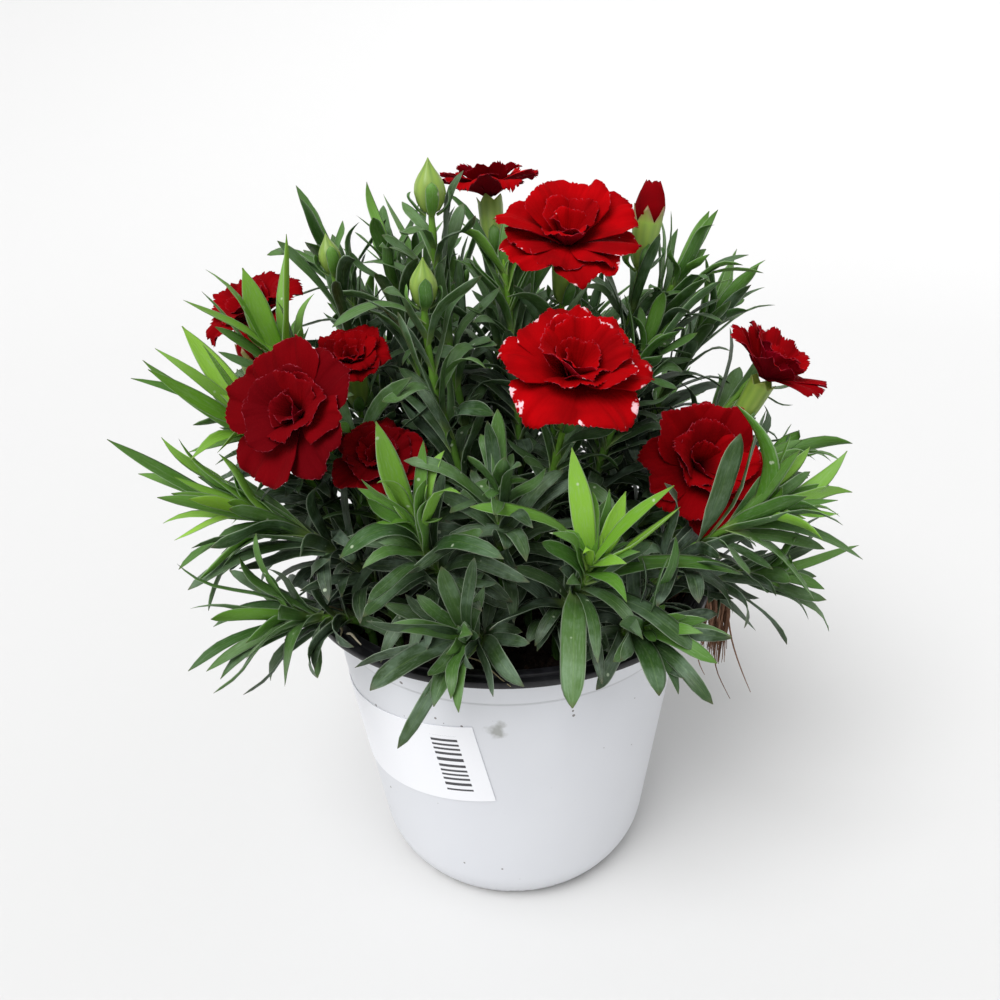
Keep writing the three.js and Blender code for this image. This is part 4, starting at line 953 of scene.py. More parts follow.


# How bright the young tips of a shoot are, by how much light it gets: painted light over their own green.
BRIGHT = {
    "shoot_left_front": 1, "shoot_left_tuft": 1, "shoot_left_upper": 0.95, "shoot_front": 1,
    "shoot_right_front": 0.8, "shoot_right_tuft": 0.62, "shoot_right_edge": 0.6, "shoot_right_top": 0.5,
    "shoot_centre_back": 0.65, "shoot_right_inner": 0.6, "shoot_centre_left": 0.7, "shoot_centre_front": 0.25,
    "shoot_front_left": 0.25, "shoot_front_right": 0.45, "shoot_low_left": 0.5,
}


def youth(stem, t):
    """How young a leaf at place t is, 0 old and grey to 1 a fresh tip, with painted light and shade in it."""
    if not stem["name"].startswith("shoot"):
        return 0.04 + 0.22 * t
    return 0.05 + 0.95 * BRIGHT.get(stem["name"], 0.42) * min(1, max(0, (t - 0.5) / 0.5)) ** 1.8


def stem_mesh(stem, seed):
    draw = make_draw(seed)
    lines = blank_lines()
    add_stem(lines, stem)
    for leaf in stem["leaves"]:
        young = youth(stem, stem["nodes"][leaf["node"]]) * (0.7 + 0.3 * draw())
        add_blade(lines, leaf, young, draw)
    for leaf in stem["small"]:
        add_blade(lines, leaf, youth(stem, leaf["place"]) * (0.6 + 0.4 * draw()), draw)
    if stem["end"]:
        for leaf in scale_leaves(stem, draw):
            add_blade(lines, leaf, 0.4, draw)
    mesh = run_tree(line_mesh(stem["name"], lines), SWEEP, {"Ring Points": 8, "Skin": LEAF})
    if not stem["end"]:
        return mesh
    end = stem["end"]
    if end["kind"] == "calyx":
        rings = calyx_rings(end["length"], TOOTH_RISE, CALYX_PROFILE, 0.3)
    elif end["kind"] == "cup":
        cup = end["length"] * CUP_SHARE
        radii = ((0, 0.05, 0.3, 0.7, 1), (1.6, 2.2, 3.2, 4.1, end["radius"] - 0.3))
        rings = calyx_rings(cup, CUP_TOOTH_RISE, radii, 0.8)
    else:
        rings = bud_rings(end["length"], end["radius"])
    head = body_mesh(stem["name"] + "_head", [turned(end["base"], end["axis"], rings)], CALYX)
    return join_meshes(stem["name"], [mesh, head])


triangles = {}
for number, stem in enumerate(stems):
    mesh = stem_mesh(stem, SEEDS["blades"] + 17 * number)
    mesh.calc_loop_triangles()
    triangles[stem["name"]] = len(mesh.loop_triangles)
    place_piece(stem["name"] + "_fine", mesh, "foliage", stem["name"])
print("stem pieces:", len(triangles), "triangles:", sum(triangles.values()), "most:", max(triangles.values()))

# %% [markdown]
# ## Petals
# Each petal is a fan with a finely toothed edge, thin and velvety. It rises from the calyx, flattens out
# and droops a little at its edge, which ruffles, because the edge grows longer than the base. All of that
# is a formula in the distance from the middle and the place across the fan, so each petal is a grid of
# points moved by it, with an upper and a lower face. The outer petals lie nearly flat and the inner ones
# stand up, so the slope of each goes from one value to another along it. The white flecks of the margin are
# colour, not shape.

# %% Petal layers
# Rows of petals: how many, length and half width as shares of the bloom's radius, slope in degrees where a
# petal leaves the throat and at its edge.
LAYERS = [
    dict(count=5, reach=1.06, half=0.6, first=38, last=-14),
    dict(count=5, reach=0.92, half=0.52, first=60, last=6),
    dict(count=4, reach=0.7, half=0.42, first=76, last=38),
    dict(count=3, reach=0.5, half=0.32, first=84, last=62),
]
# Six blooms have a row for each of their petals: angle from the right, length, half width, the two slopes,
# how much its sides curl up, and how much white it shows.
PETALS_BY_HAND = {
    "front": [
        (230, 1.04, 0.62, 26, -24, -0.1, 1), (305, 1.04, 0.62, 24, -22, -0.1, 1),
        (172, 1.04, 0.56, 36, -4, 0, 0.7), (4, 1.04, 0.56, 34, -6, 0, 0.8), (58, 1, 0.56, 42, 8, 0, 0.5),
        (118, 1, 0.58, 44, 10, 0, 0.6), (196, 0.84, 0.56, 74, 40, 0.3, 0), (342, 0.88, 0.5, 54, 10, 0, 0.6),
        (14, 0.86, 0.46, 62, 26, 0, 0.6), (48, 0.84, 0.46, 66, 32, 0, 0.7),
        (96, 0.84, 0.54, 70, 44, 0.2, 0.6), (142, 0.8, 0.5, 72, 46, 0.2, 0.4),
        (262, 0.66, 0.46, 62, 14, 0, 0.1), (300, 0.62, 0.4, 70, 34, 0, 0.1),
        (226, 0.58, 0.42, 80, 56, 0.4, 0), (350, 0.58, 0.36, 78, 52, 0.2, 0.4),
        (70, 0.56, 0.36, 84, 62, 0.3, 0.3), (160, 0.44, 0.3, 86, 70, 0.3, 0),
    ],
    "centre": [
        (214, 1.04, 0.54, 22, -12, -0.1, 0.9), (290, 0.98, 0.56, 18, -18, -0.1, 0.9),
        (338, 1.04, 0.5, 26, -4, 0, 0.7), (174, 1.06, 0.44, 38, 8, 0.2, 0.2),
        (10, 1.06, 0.48, 42, 12, 0.1, 0.3), (122, 0.92, 0.52, 60, 34, 0.1, 0),
        (60, 0.92, 0.52, 60, 34, 0.1, 0.2), (92, 0.8, 0.44, 50, 26, 0, 0), (150, 0.66, 0.4, 74, 46, 0.3, 0),
        (32, 0.66, 0.38, 72, 44, 0.3, 0.2), (244, 0.56, 0.38, 66, 24, 0.2, 0),
        (194, 0.92, 0.5, 30, -2, 0, 0.1), (316, 0.92, 0.5, 26, -6, 0, 0.3), (252, 0.8, 0.5, 24, -8, 0, 0),
        (300, 0.52, 0.34, 72, 40, 0.3, 0.1), (90, 0.5, 0.32, 84, 66, 0.3, 0),
        (198, 0.48, 0.3, 80, 60, 0.4, 0),
    ],
    "rear": [
        (248, 1, 0.52, 30, -30, 0, 0), (292, 1, 0.52, 28, -34, 0, 0), (204, 1, 0.52, 36, -8, 0, 0),
        (338, 1, 0.52, 36, -8, 0, 0), (158, 0.98, 0.52, 44, 14, 0, 0), (24, 0.98, 0.52, 44, 14, 0, 0),
        (116, 0.96, 0.5, 50, 24, 0, 0), (66, 0.96, 0.5, 50, 24, 0, 0), (180, 0.76, 0.46, 62, 30, 0.2, 0),
        (2, 0.76, 0.46, 62, 30, 0.2, 0), (264, 0.74, 0.46, 56, 8, 0.1, 0), (92, 0.72, 0.44, 70, 48, 0.2, 0),
        (226, 0.56, 0.36, 74, 46, 0.3, 0), (314, 0.56, 0.36, 74, 46, 0.3, 0),
        (60, 0.5, 0.32, 82, 62, 0.3, 0), (136, 0.5, 0.32, 82, 62, 0.3, 0),
    ],
    "left": [
        (232, 1.04, 0.68, 16, -8, 0.1, 0.1), (152, 1.04, 0.66, 26, 8, 0.1, 0), (92, 1, 0.62, 32, 12, 0, 0.1),
        (32, 0.98, 0.58, 24, 2, 0, 0), (302, 0.94, 0.6, 18, -8, 0, 0.3), (348, 0.82, 0.52, 30, 2, 0, 0),
        (200, 0.72, 0.52, 52, 16, 0.1, 0), (12, 0.68, 0.46, 50, 16, 0.3, 0),
        (112, 0.68, 0.52, 60, 32, 0.1, 0), (62, 0.62, 0.46, 62, 34, 0.1, 0),
        (280, 0.52, 0.42, 60, 28, 0.1, 0.1), (150, 0.4, 0.32, 80, 56, 0.3, 0),
        (30, 0.36, 0.3, 84, 66, 0.4, 0), (262, 0.34, 0.3, 84, 66, 0.4, 0),
    ],
    "right": [
        (132, 1.02, 0.62, 56, 30, 0.2, 0), (62, 1, 0.58, 60, 40, 0.1, 0), (192, 1, 0.56, 40, 12, 0, 0.1),
        (288, 1.06, 0.54, 18, -12, 0, 0.3), (236, 0.94, 0.56, 32, 0, 0, 0.1),
        (344, 0.98, 0.54, 36, 10, 0, 0.2), (12, 0.9, 0.5, 54, 28, 0.1, 0), (98, 0.8, 0.5, 72, 50, 0.3, 0),
        (160, 0.74, 0.46, 70, 46, 0.3, 0), (28, 0.7, 0.42, 72, 48, 0.3, 0),
        (300, 0.7, 0.44, 58, 22, 0.2, 0.1), (240, 0.6, 0.42, 66, 34, 0.3, 0),
        (80, 0.5, 0.34, 82, 64, 0.3, 0), (200, 0.46, 0.32, 82, 62, 0.3, 0),
    ],
    "right_rear": [
        (184, 1.04, 0.46, 42, 26, 0.1, 0.1), (2, 1.04, 0.5, 28, 2, 0, 0.1), (312, 1, 0.5, 30, 2, 0, 0.2),
        (246, 0.92, 0.5, 44, 18, 0, 0.1), (52, 1, 0.5, 46, 26, 0, 0), (122, 0.98, 0.5, 54, 38, 0, 0),
        (158, 0.84, 0.44, 66, 48, 0.2, 0), (88, 0.84, 0.44, 68, 54, 0.2, 0), (20, 0.8, 0.42, 60, 36, 0.1, 0),
        (276, 0.72, 0.42, 66, 40, 0.2, 0), (216, 0.66, 0.4, 74, 54, 0.3, 0),
        (340, 0.6, 0.36, 76, 52, 0.3, 0), (110, 0.56, 0.34, 84, 70, 0.3, 0),
    ],
}
# The depth of the teeth of each bloom's petals, mm.
TEETH_OF = {"rear": 1.5, "left_rear": 1.3, "right_rear": 1.3, "right": 0.9, "front": 0.8}
PETAL_ROOT = 2.2
PETAL_HALF_THICKNESS = 0.16
PETAL_ROWS = 13
PETAL_COLUMNS = 45  # two for each tooth, and one more
PETAL_RUFFLE = 0.055  # of the petal's length
PETAL_CRIMP = 0.022
# How far the petals reach, as a share of the solid's radius.
REACH = {"front": 0.9, "centre": 0.9, "left": 0.96, "right": 0.95}


def petals_of(name, row, draw):
    """The petals of a bloom, as rows of angle, length, half width, slopes, curl and mark."""
    radius = row["radius"] * REACH.get(name, 1)
    made = []
    for angle, reach, half, first, last, curl, mark in PETALS_BY_HAND.get(name, []):
        made.append(dict(angle=math.radians(angle), length=reach * radius, half=half * radius, first=first,
                         last=last, curl=curl, mark=mark))
    if not made:
        for number, layer in enumerate(LAYERS):
            for k in range(layer["count"]):
                turn = (k + 0.45 * number + 0.3 * (draw() - 0.5)) / layer["count"]
                made.append(dict(
                    angle=turn * 2 * math.pi, length=layer["reach"] * radius * (0.92 + 0.14 * draw()),
                    half=layer["half"] * radius * (0.9 + 0.2 * draw()), first=layer["first"] + row["cup"],
                    last=layer["last"] + row["cup"] + 16 * (draw() - 0.5), curl=0.3 * draw(),
                    mark=0.3 * draw() ** 2))
    return made


def sheet_faces(rows, columns):
    """The faces of a thin sheet: a grid of points, the same grid again on its other side, and the rim."""
    size = rows * columns
    index = np.arange(size).reshape(rows, columns)
    faces = []
    for i in range(rows - 1):
        for k in range(columns - 1):
            a, b, c, d = index[i, k], index[i, k + 1], index[i + 1, k + 1], index[i + 1, k]
            faces += [(a, b, c, d), (d + size, c + size, b + size, a + size)]
    rim = list(index[0, :]) + list(index[1:, -1]) + list(index[-1, -2::-1]) + list(index[-2:0:-1, 0])
    faces += [(b, a, a + size, b + size) for a, b in zip(rim, rim[1:] + rim[:1])]
    return [tuple(int(i) for i in face) for face in faces]


def petal_body(row, petal, teeth, draw):
    centre, axis = vec(*row["centre"]), unit(vec(*row["face"]))
    e1, e2 = axes_of(axis)
    out = e1 * math.cos(petal["angle"]) + e2 * math.sin(petal["angle"])
    over = np.cross(axis, out)  # across the petal
    length = petal["length"]
    share = np.linspace(-1, 1, PETAL_COLUMNS)
    share[1:-1] += np.array([draw() - 0.5 for _ in share[1:-1]]) * 0.7 / PETAL_COLUMNS
    tooth = np.where(np.arange(PETAL_COLUMNS) % 2, 1.0, 0.0) * np.array([draw() ** 1.4 for _ in share])
    lobe = 0.05 * np.cos(share * (3 + 3 * draw()) + 6.3 * draw())  # a margin is never quite even
    margin = 1 - (0.34 + 0.1 * draw()) * np.abs(share) ** 2.5 + lobe - teeth / length * tooth
    depth = np.linspace(0, 1, PETAL_ROWS)[:, None] ** 0.85
    x = depth * margin[None, :]
    # The middle line is an arc: its slope goes evenly from the first one to the last one.
    first, last = math.radians(petal["first"]), math.radians(petal["last"])
    bend = last - first if abs(last - first) > 0.02 else 0.02
    slope = first + bend * x
    outward = length * (np.sin(slope) - math.sin(first)) / bend
    upward = -length * (np.cos(slope) - math.cos(first)) / bend
    fan = np.interp(x, (0, 0.15, 0.4, 0.68, 0.88, 1), (0.18, 0.34, 0.7, 0.95, 1, 0.97))
    sideways_move = petal["half"] * fan * share[None, :]
    folds, phase = 1.4 + 1.8 * draw(), 6.3 * draw()
    ruffle = PETAL_RUFFLE * length * np.sin(folds * math.pi * share + phase)[None, :] * x**2
    crimp = PETAL_CRIMP * length * np.sin(6.5 * math.pi * share + 6.3 * draw())[None, :] * x**5
    cup = petal["curl"] * petal["half"] * share[None, :] ** 2 * fan
    roll = 0.3 * length * (draw() - 0.5) * share[None, :] * x  # one side of a petal lies over its neighbour
    turned_edge = -0.1 * length * draw() * np.maximum(0, x - 0.78) ** 2 / 0.05
    lift = ruffle + crimp + cup + roll + turned_edge
    points = (centre + axis * (PETAL_ROOT + upward + lift * np.cos(slope))[..., None]
              + out * (1.1 + outward - lift * np.sin(slope))[..., None] + over * sideways_move[..., None])
    normal = np.cross(np.gradient(points, axis=0), np.gradient(points, axis=1))
    normal /= np.linalg.norm(normal, axis=2, keepdims=True)
    thick = PETAL_HALF_THICKNESS * (1.2 - depth**3)[..., None]
    sheets = [points - normal * thick, points + normal * thick]
    values = {
        "depth": np.tile(np.broadcast_to(depth, x.shape).ravel(), 2),
        "share": np.tile(np.broadcast_to(share[None, :], x.shape).ravel(), 2),
        "tone": np.full(x.size * 2, draw()),
        "mark": np.full(x.size * 2, petal["mark"]),
        "under": np.repeat([1.0, 0.0], x.size),
    }
    points = [p * MM for sheet in sheets for p in sheet.reshape(-1, 3)]
    return points, sheet_faces(PETAL_ROWS, PETAL_COLUMNS), values


# %% [markdown]
# A petal's upper face is covered with tiny swollen cells that catch the light from the side, which makes
# the red look like velvet: a sheen over a deep, rough red. It is darker towards the throat, partly its own
# deeper red and partly painted shade deep in the bloom, with faint veins. A bloom that gets less light is
# painted darker as a whole, which is painted shade. White and pink flecks lie along the margin in short
# strokes, more of them on the blooms that face the light.

# %% Petal velvet


def petal_velvet(name, fleck, shade):
    skin, tree = new_material(name)
    place = add(tree, "ShaderNodeTexCoord").outputs["Object"]
    value = {}
    for key in ("depth", "share", "tone", "under", "mark"):
        value[key] = add(tree, "ShaderNodeAttribute", {"attribute_name": key}).outputs["Fac"]

    cloud = add(tree, "ShaderNodeTexNoise", None, {"Vector": place, "Scale": 1 / (11 * MM), "Detail": 2.0})
    blotch = add(tree, "ShaderNodeTexNoise", None,
                 {"Vector": place, "Scale": 1 / (5.5 * MM), "Detail": 3.0,
                  "Roughness": 0.62})
    fine = add(tree, "ShaderNodeTexNoise", None, {"Vector": place, "Scale": 1 / (0.9 * MM), "Detail": 1.0})
    edge = add(tree, "ShaderNodeMapRange", None, {0: value["depth"], 1: 0.7, 2: 1.0, 3: 0.0, 4: 0.26})
    marked = add(tree, "ShaderNodeMath", {"operation": "MULTIPLY_ADD"}, {0: value["mark"], 1: 0.1, 2: edge})
    raised = add(tree, "ShaderNodeMath", {"operation": "ADD"}, {0: blotch, 1: marked})
    rimmed = add(tree, "ShaderNodeMapRange", None, {0: value["depth"], 1: 0.965, 2: 1.0, 3: 0.0, 4: 0.5})
    dotted = add(tree, "ShaderNodeMath", {"operation": "MULTIPLY"}, {0: rimmed, 1: fine})
    # Each layer of colour goes over the last: what steers it, from where to where, how much, and its hue.
    layers = [
        (cloud, 0.35, 0.65, 0.0, 1.0, colour("ab0005")),
        # Painted shade: a bloom that gets less light is coloured darker; each petal adds a random tone.
        (value["tone"], 0.0, 1.0, shade, shade + 0.25, colour("540006")),
        # Darker towards the throat: partly its own deeper red, partly painted shade deep in the bloom.
        (value["depth"], 0.5, 0.05, 0.0, 0.9, colour("300004")),
        (value["under"], 0.0, 1.0, 0.0, 0.6, colour("8a0420")),
        (dotted, 0.2, 0.3, 0.0, 0.5, colour("c4566a")),
        (raised, 0.98 - fleck, 1.01 - fleck, 0.0, 0.92, colour("eec3ca")),
    ]
    over = colour("850003")
    for steer, low, high, least, most, hue in layers:
        share = add(tree, "ShaderNodeMapRange", None, {0: steer, 1: low, 2: high, 3: least, 4: most})
        over = add(tree, "ShaderNodeMix", {"data_type": "RGBA"}, {0: share, 6: over, 7: hue}).outputs[2]
    veins = add(tree, "ShaderNodeMath", {"operation": "MULTIPLY"}, {0: value["share"], 1: 46.0})
    vein = add(tree, "ShaderNodeMath", {"operation": "SINE"}, {0: veins})
    bump = add(tree, "ShaderNodeBump", None, {"Strength": 0.2, "Distance": 0.12 * MM, "Height": vein})
    shader = add(tree, "ShaderNodeBsdfPrincipled", None, {
        "Base Color": over, "Roughness": 0.85, "Specular IOR Level": 0.04, "Normal": bump,
        "Sheen Weight": 0.03, "Sheen Roughness": 0.4, "Sheen Tint": colour("ff1812")})
    add(tree, "ShaderNodeOutputMaterial", None, {"Surface": shader})
    return skin


FLECKS = {"front": 0.06, "centre": 0.07, "left": 0.0, "left_low": 0.0}
# Painted shade: how much darker than the front bloom each other one is coloured, for the light it gets.
BLOOM_PAINTED_SHADES = {"front": 0.0, "centre": 0.05, "rear": 0.0, "left": 0.75, "left_low": 0.7, "right_rear": 0.4}
total = 0
for number, (name, row) in enumerate(BLOOMS.items()):
    draw = make_draw(SEEDS["petals"] + 29 * number)
    bodies = [petal_body(row, petal, TEETH_OF.get(name, 0.6), draw) for petal in petals_of(name, row, draw)]
    velvet = petal_velvet("velvet_petal_" + name, FLECKS.get(name, 0.01), BLOOM_PAINTED_SHADES.get(name, 0.45))
    mesh = body_mesh("petals_" + name, bodies, velvet)
    total += len(mesh.polygons) * 2
    place_piece(f"petals_{name}_fine", mesh, "petal", "petals_" + name)
print("bloom triangles:", total)

# %% [markdown]
# The red tip of a bud that just opens is a roll of petals that lap over each other, so its wall steps in at
# each seam and the seams turn round it as they rise.

# %% Red tips of opening buds
PETAL_LAPS = 3


def rolled_rings(length, radius):
    rings = []
    profile = ((0, 0.15, 0.4, 0.7, 0.9, 1), (0.8, 0.97, 1, 0.86, 0.66, 0.5))
    for share in np.linspace(0, 1, 12):
        lap = (RING_ANGLES * PETAL_LAPS / (2 * math.pi) + 0.5 * share) % 1
        r = radius * np.interp(share, *profile) * (1 - 0.13 * lap * min(1, 0.3 + share))
        height = length * share + (0.45 * np.sin(RING_ANGLES * 7) + lap) * max(0, share - 0.8) * 3
        rings.append((height, r, {}))
    rings.append((length * 0.9, radius * 0.3, {}))
    rings.append((length * 0.6, radius * 0.12, {}))
    return rings


RED_TIP = petal_velvet("velvet_petal_tip", 0.1, 0.7)
for name, row in BUDS.items():
    if row.get("red"):
        axis = unit(vec(*row["face"]))
        cup = row["length"] * CUP_SHARE
        rings = rolled_rings(row["length"] - cup - 0.8, row["radius"])
        points, faces, values = turned(vec(*row["base"]) + axis * (cup + GAP), axis, rings)
        depth = [0.45 + 0.5 * (i // RING_SIDES) / len(rings) for i in range(len(points))]
        mesh = body_mesh("petals_" + name, [(points, faces, {"depth": depth})], RED_TIP)
        place_piece(f"petals_{name}_fine", mesh, "petal", "petals_" + name)

# %% [markdown]
# ## The pot
# Nursery pots like this one are pressed from a warm sheet of polypropylene with a white face and a black
# one. The rim is pressed flat and shows the black side. The pot is round, so its fine shape is the solid's
# profile with its corners rounded, turned about the middle. Drainage holes and the notches of the foot are
# cut out after that.

# %% Turned profile
BODY_TOP_RADIUS = 61.4
BODY_FOOT_RADIUS = 48.8
FOOT_TUCK = 5.4
FOOT_ROUND = 14
STEP_Z = 97
STEP_DEPTH = 0.8
WALL = 1.2
RIM_WIDTH = 7
RIM_DEPTH = 2.4
CHANNEL_HEIGHT = 3.2
PAD_RADIUS = 14
FOOT_WIDTH = 5
DRAIN_HOLES = 6
DRAIN_RADIUS = 3.5
NOTCHES = 4
NOTCH_WIDTH = 20
NOTCH_TURN = 22
NOTCH_LENGTH = 12
DRILL_LENGTH = 12
POT_SIDES = 144


def body_radius(z):
    tuck = max(0, 1 - z / FOOT_ROUND)
    return BODY_FOOT_RADIUS + (BODY_TOP_RADIUS - BODY_FOOT_RADIUS) * z / STEP_Z - FOOT_TUCK * tuck * tuck


def pot_profile():
    """Points of (radius, height, layer), from the middle of the underside to the middle of the floor."""
    white, black = 0, 1
    foot = body_radius(0)
    mouth = RIM_RADIUS - RIM_WIDTH
    top = POT_HEIGHT
    floor = CHANNEL_HEIGHT + WALL
    points = [(0, 0, white), (PAD_RADIUS, 0, white), (PAD_RADIUS + 2, CHANNEL_HEIGHT, white),
              (foot - FOOT_WIDTH - 2, CHANNEL_HEIGHT, white), (foot - FOOT_WIDTH, 0, white),
              (foot - 0.6, 0, white)]
    points += [(body_radius(z), z, white) for z in (0.4, 1.2, 2.5, 4, 6, 8.5, 11, FOOT_ROUND, 30, 50, 70, 88)]
    points += [(BODY_TOP_RADIUS - STEP_DEPTH, STEP_Z, white), (BODY_TOP_RADIUS - 0.1, STEP_Z + 0.9, white),
               (BODY_TOP_RADIUS, STEP_Z + 1.4, white), (mouth + WALL, top - RIM_DEPTH, white),
               (RIM_RADIUS - 0.7, top - RIM_DEPTH, white), (RIM_RADIUS - 0.15, top - RIM_DEPTH + 0.25, white),
               (RIM_RADIUS, top - RIM_DEPTH + 0.7, black), (RIM_RADIUS, top - 0.8, black),
               (RIM_RADIUS - 0.3, top - 0.3, black), (RIM_RADIUS - 0.9, top - 0.1, black),
               (RIM_RADIUS - 2.2, top - 0.1, black), (RIM_RADIUS - 2.6, top - 0.8, black),
               (RIM_RADIUS - 3.2, top - 0.8, black), (RIM_RADIUS - 3.6, top, black),
               (mouth + 1.2, top, black),
               (mouth + 0.5, top - 0.3, black), (mouth + 0.1, top - 1, black),
               (mouth - 0.3, top - 2.4, black)]
    points += [(BODY_TOP_RADIUS - STEP_DEPTH - WALL, STEP_Z, black)]
    points += [(body_radius(z) - WALL, z, black) for z in (70, 40, FOOT_ROUND, 9, floor)]
    points += [(0, floor, black)]
    return points


def lathe(name, profile, sides, skins):
    """Turns a profile about the Z axis into a closed mesh. Its first and last points are on the axis."""
    points = []
    inner = profile[1:-1]
    for r, z, _ in inner:
        for k in range(sides):
            a = 2 * math.pi * k / sides
            points.append((r * math.cos(a) * MM, r * math.sin(a) * MM, z * MM))
    faces = ring_faces(len(inner), sides)
    layers = [row[2] for row in inner[1:] for _ in range(sides)]
    for (_, z, layer), start, turn in ((profile[0], 0, 1), (profile[-1], (len(inner) - 1) * sides, -1)):
        points.append((0, 0, z * MM))
        for k in range(sides):
            faces.append((start + (k + 1) % sides, start + k, len(points) - 1)[::turn])
            layers.append(layer)
    mesh = bpy.data.meshes.new(name)
    mesh.from_pydata(points, [], faces)
    for skin in skins:
        mesh.materials.append(skin)
    mesh.polygons.foreach_set("material_index", layers)
    turn_outwards(mesh)
    return mesh


# %% [markdown]
# Pressed polypropylene has a soft gloss. The white layer is faintly blue in the shade. It carries specks of
# compost, a grey scuff and some dirt along the foot, and a thin grey line of painted shade at the ledge. The
# black layer is a dark grey.

# %% Pot plastics
SPECK_PATCH = (-26 * MM, -55 * MM, 92 * MM)
SCUFF_PLACE = (-5 * MM, -60 * MM, 87 * MM)


def white_plastic():
    skin, tree = new_material("pressed_white_polypropylene")
    place = add(tree, "ShaderNodeTexCoord").outputs["Object"]
    haze = add(tree, "ShaderNodeTexNoise", None, {"Vector": place, "Scale": 1 / (50 * MM)})
    # Specks of compost, most of them in a patch at the upper left of the front.
    dots = add(tree, "ShaderNodeTexVoronoi", None, {"Vector": place, "Scale": 1 / (2.6 * MM)})
    rare = add(tree, "ShaderNodeSeparateColor", None, {0: dots.outputs["Color"]})
    patch = add(tree, "ShaderNodeVectorMath", {"operation": "DISTANCE"}, {0: place, 1: SPECK_PATCH})
    often = add(tree, "ShaderNodeMapRange", None,
                {0: patch.outputs["Value"], 1: 17 * MM, 2: 6 * MM, 3: 0.965, 4: 0.5})
    size = add(tree, "ShaderNodeMapRange", None, {0: rare, 1: often, 2: 1.0, 3: 0.0, 4: 0.24})
    near = add(tree, "ShaderNodeMath", {"operation": "LESS_THAN"}, {0: dots.outputs["Distance"], 1: size})
    speck = add(tree, "ShaderNodeMath", {"operation": "MULTIPLY"}, {0: near, 1: 0.8})
    # A grey-green scuff beside the sticker.
    spread = add(tree, "ShaderNodeTexNoise", None, {"Vector": place, "Scale": 1 / (3.5 * MM), "Detail": 5.0})
    scuffed = add(tree, "ShaderNodeVectorMath", {"operation": "DISTANCE"}, {0: place, 1: SCUFF_PLACE})
    reach = add(tree, "ShaderNodeMapRange", None,
                {0: scuffed.outputs["Value"], 1: 8 * MM, 2: 0.0, 3: -0.3, 4: 0.42})
    patchy = add(tree, "ShaderNodeMath", {"operation": "ADD"}, {0: reach, 1: spread})
    scuff = add(tree, "ShaderNodeMapRange", None, {0: patchy, 1: 0.55, 2: 0.85, 3: 0.0, 4: 0.6})
    # Compost that sticks along the foot's edge, and a thin grey line of painted shade at the ledge.
    split = add(tree, "ShaderNodeSeparateXYZ", None, {0: place})
    crumbs = add(tree, "ShaderNodeTexNoise", None, {"Vector": place, "Scale": 1 / (1.6 * MM), "Detail": 3.0})
    low = add(tree, "ShaderNodeMapRange", None, {0: split.outputs[2], 1: 0.0, 2: 8 * MM, 3: 0.22, 4: -0.15})
    stuck = add(tree, "ShaderNodeMath", {"operation": "ADD"}, {0: low, 1: crumbs})
    grime = add(tree, "ShaderNodeMapRange", None, {0: stuck, 1: 0.6, 2: 0.7, 3: 0.0, 4: 0.75})
    above = add(tree, "ShaderNodeMath", {"operation": "SUBTRACT"},
                {0: split.outputs[2], 1: (STEP_Z + 0.3) * MM})
    off = add(tree, "ShaderNodeMath", {"operation": "ABSOLUTE"}, {0: above})
    line = add(tree, "ShaderNodeMapRange", None, {0: off, 1: 0.9 * MM, 2: 0.3 * MM, 3: 0.0, 4: 0.4})
    over = colour("ccced4")
    for share, hue in ((haze, "d6d8dc"), (speck, "4c4238"), (scuff, "6f7062"), (grime, "5c574e"),
                       (line, "8d8f90")):
        over = add(tree, "ShaderNodeMix", {"data_type": "RGBA"},
                   {0: share, 6: over, 7: colour(hue)}).outputs[2]
    shader = add(tree, "ShaderNodeBsdfPrincipled", None, {"Base Color": over, "Roughness": 0.36, "IOR": 1.49})
    add(tree, "ShaderNodeOutputMaterial", None, {"Surface": shader})
    return skin


def black_plastic():
    skin, tree = new_material("pressed_black_polypropylene")
    place = add(tree, "ShaderNodeTexCoord").outputs["Object"]
    dust = add(tree, "ShaderNodeTexNoise", None, {"Vector": place, "Scale": 1 / (4 * MM), "Detail": 5.0})
    share = add(tree, "ShaderNodeMapRange", None, {0: dust, 1: 0.5, 2: 0.8, 3: 0.0, 4: 0.5})
    grey = add(tree, "ShaderNodeMix", {"data_type": "RGBA"},
               {0: share, 6: colour("121215"), 7: colour("2c2c31")})
    shader = add(tree, "ShaderNodeBsdfPrincipled", None,
                 {"Base Color": grey.outputs[2], "Roughness": 0.36, "IOR": 1.49, "Specular IOR Level": 0.4})
    add(tree, "ShaderNodeOutputMaterial", None, {"Surface": shader})
    return skin


# %% Pot piece


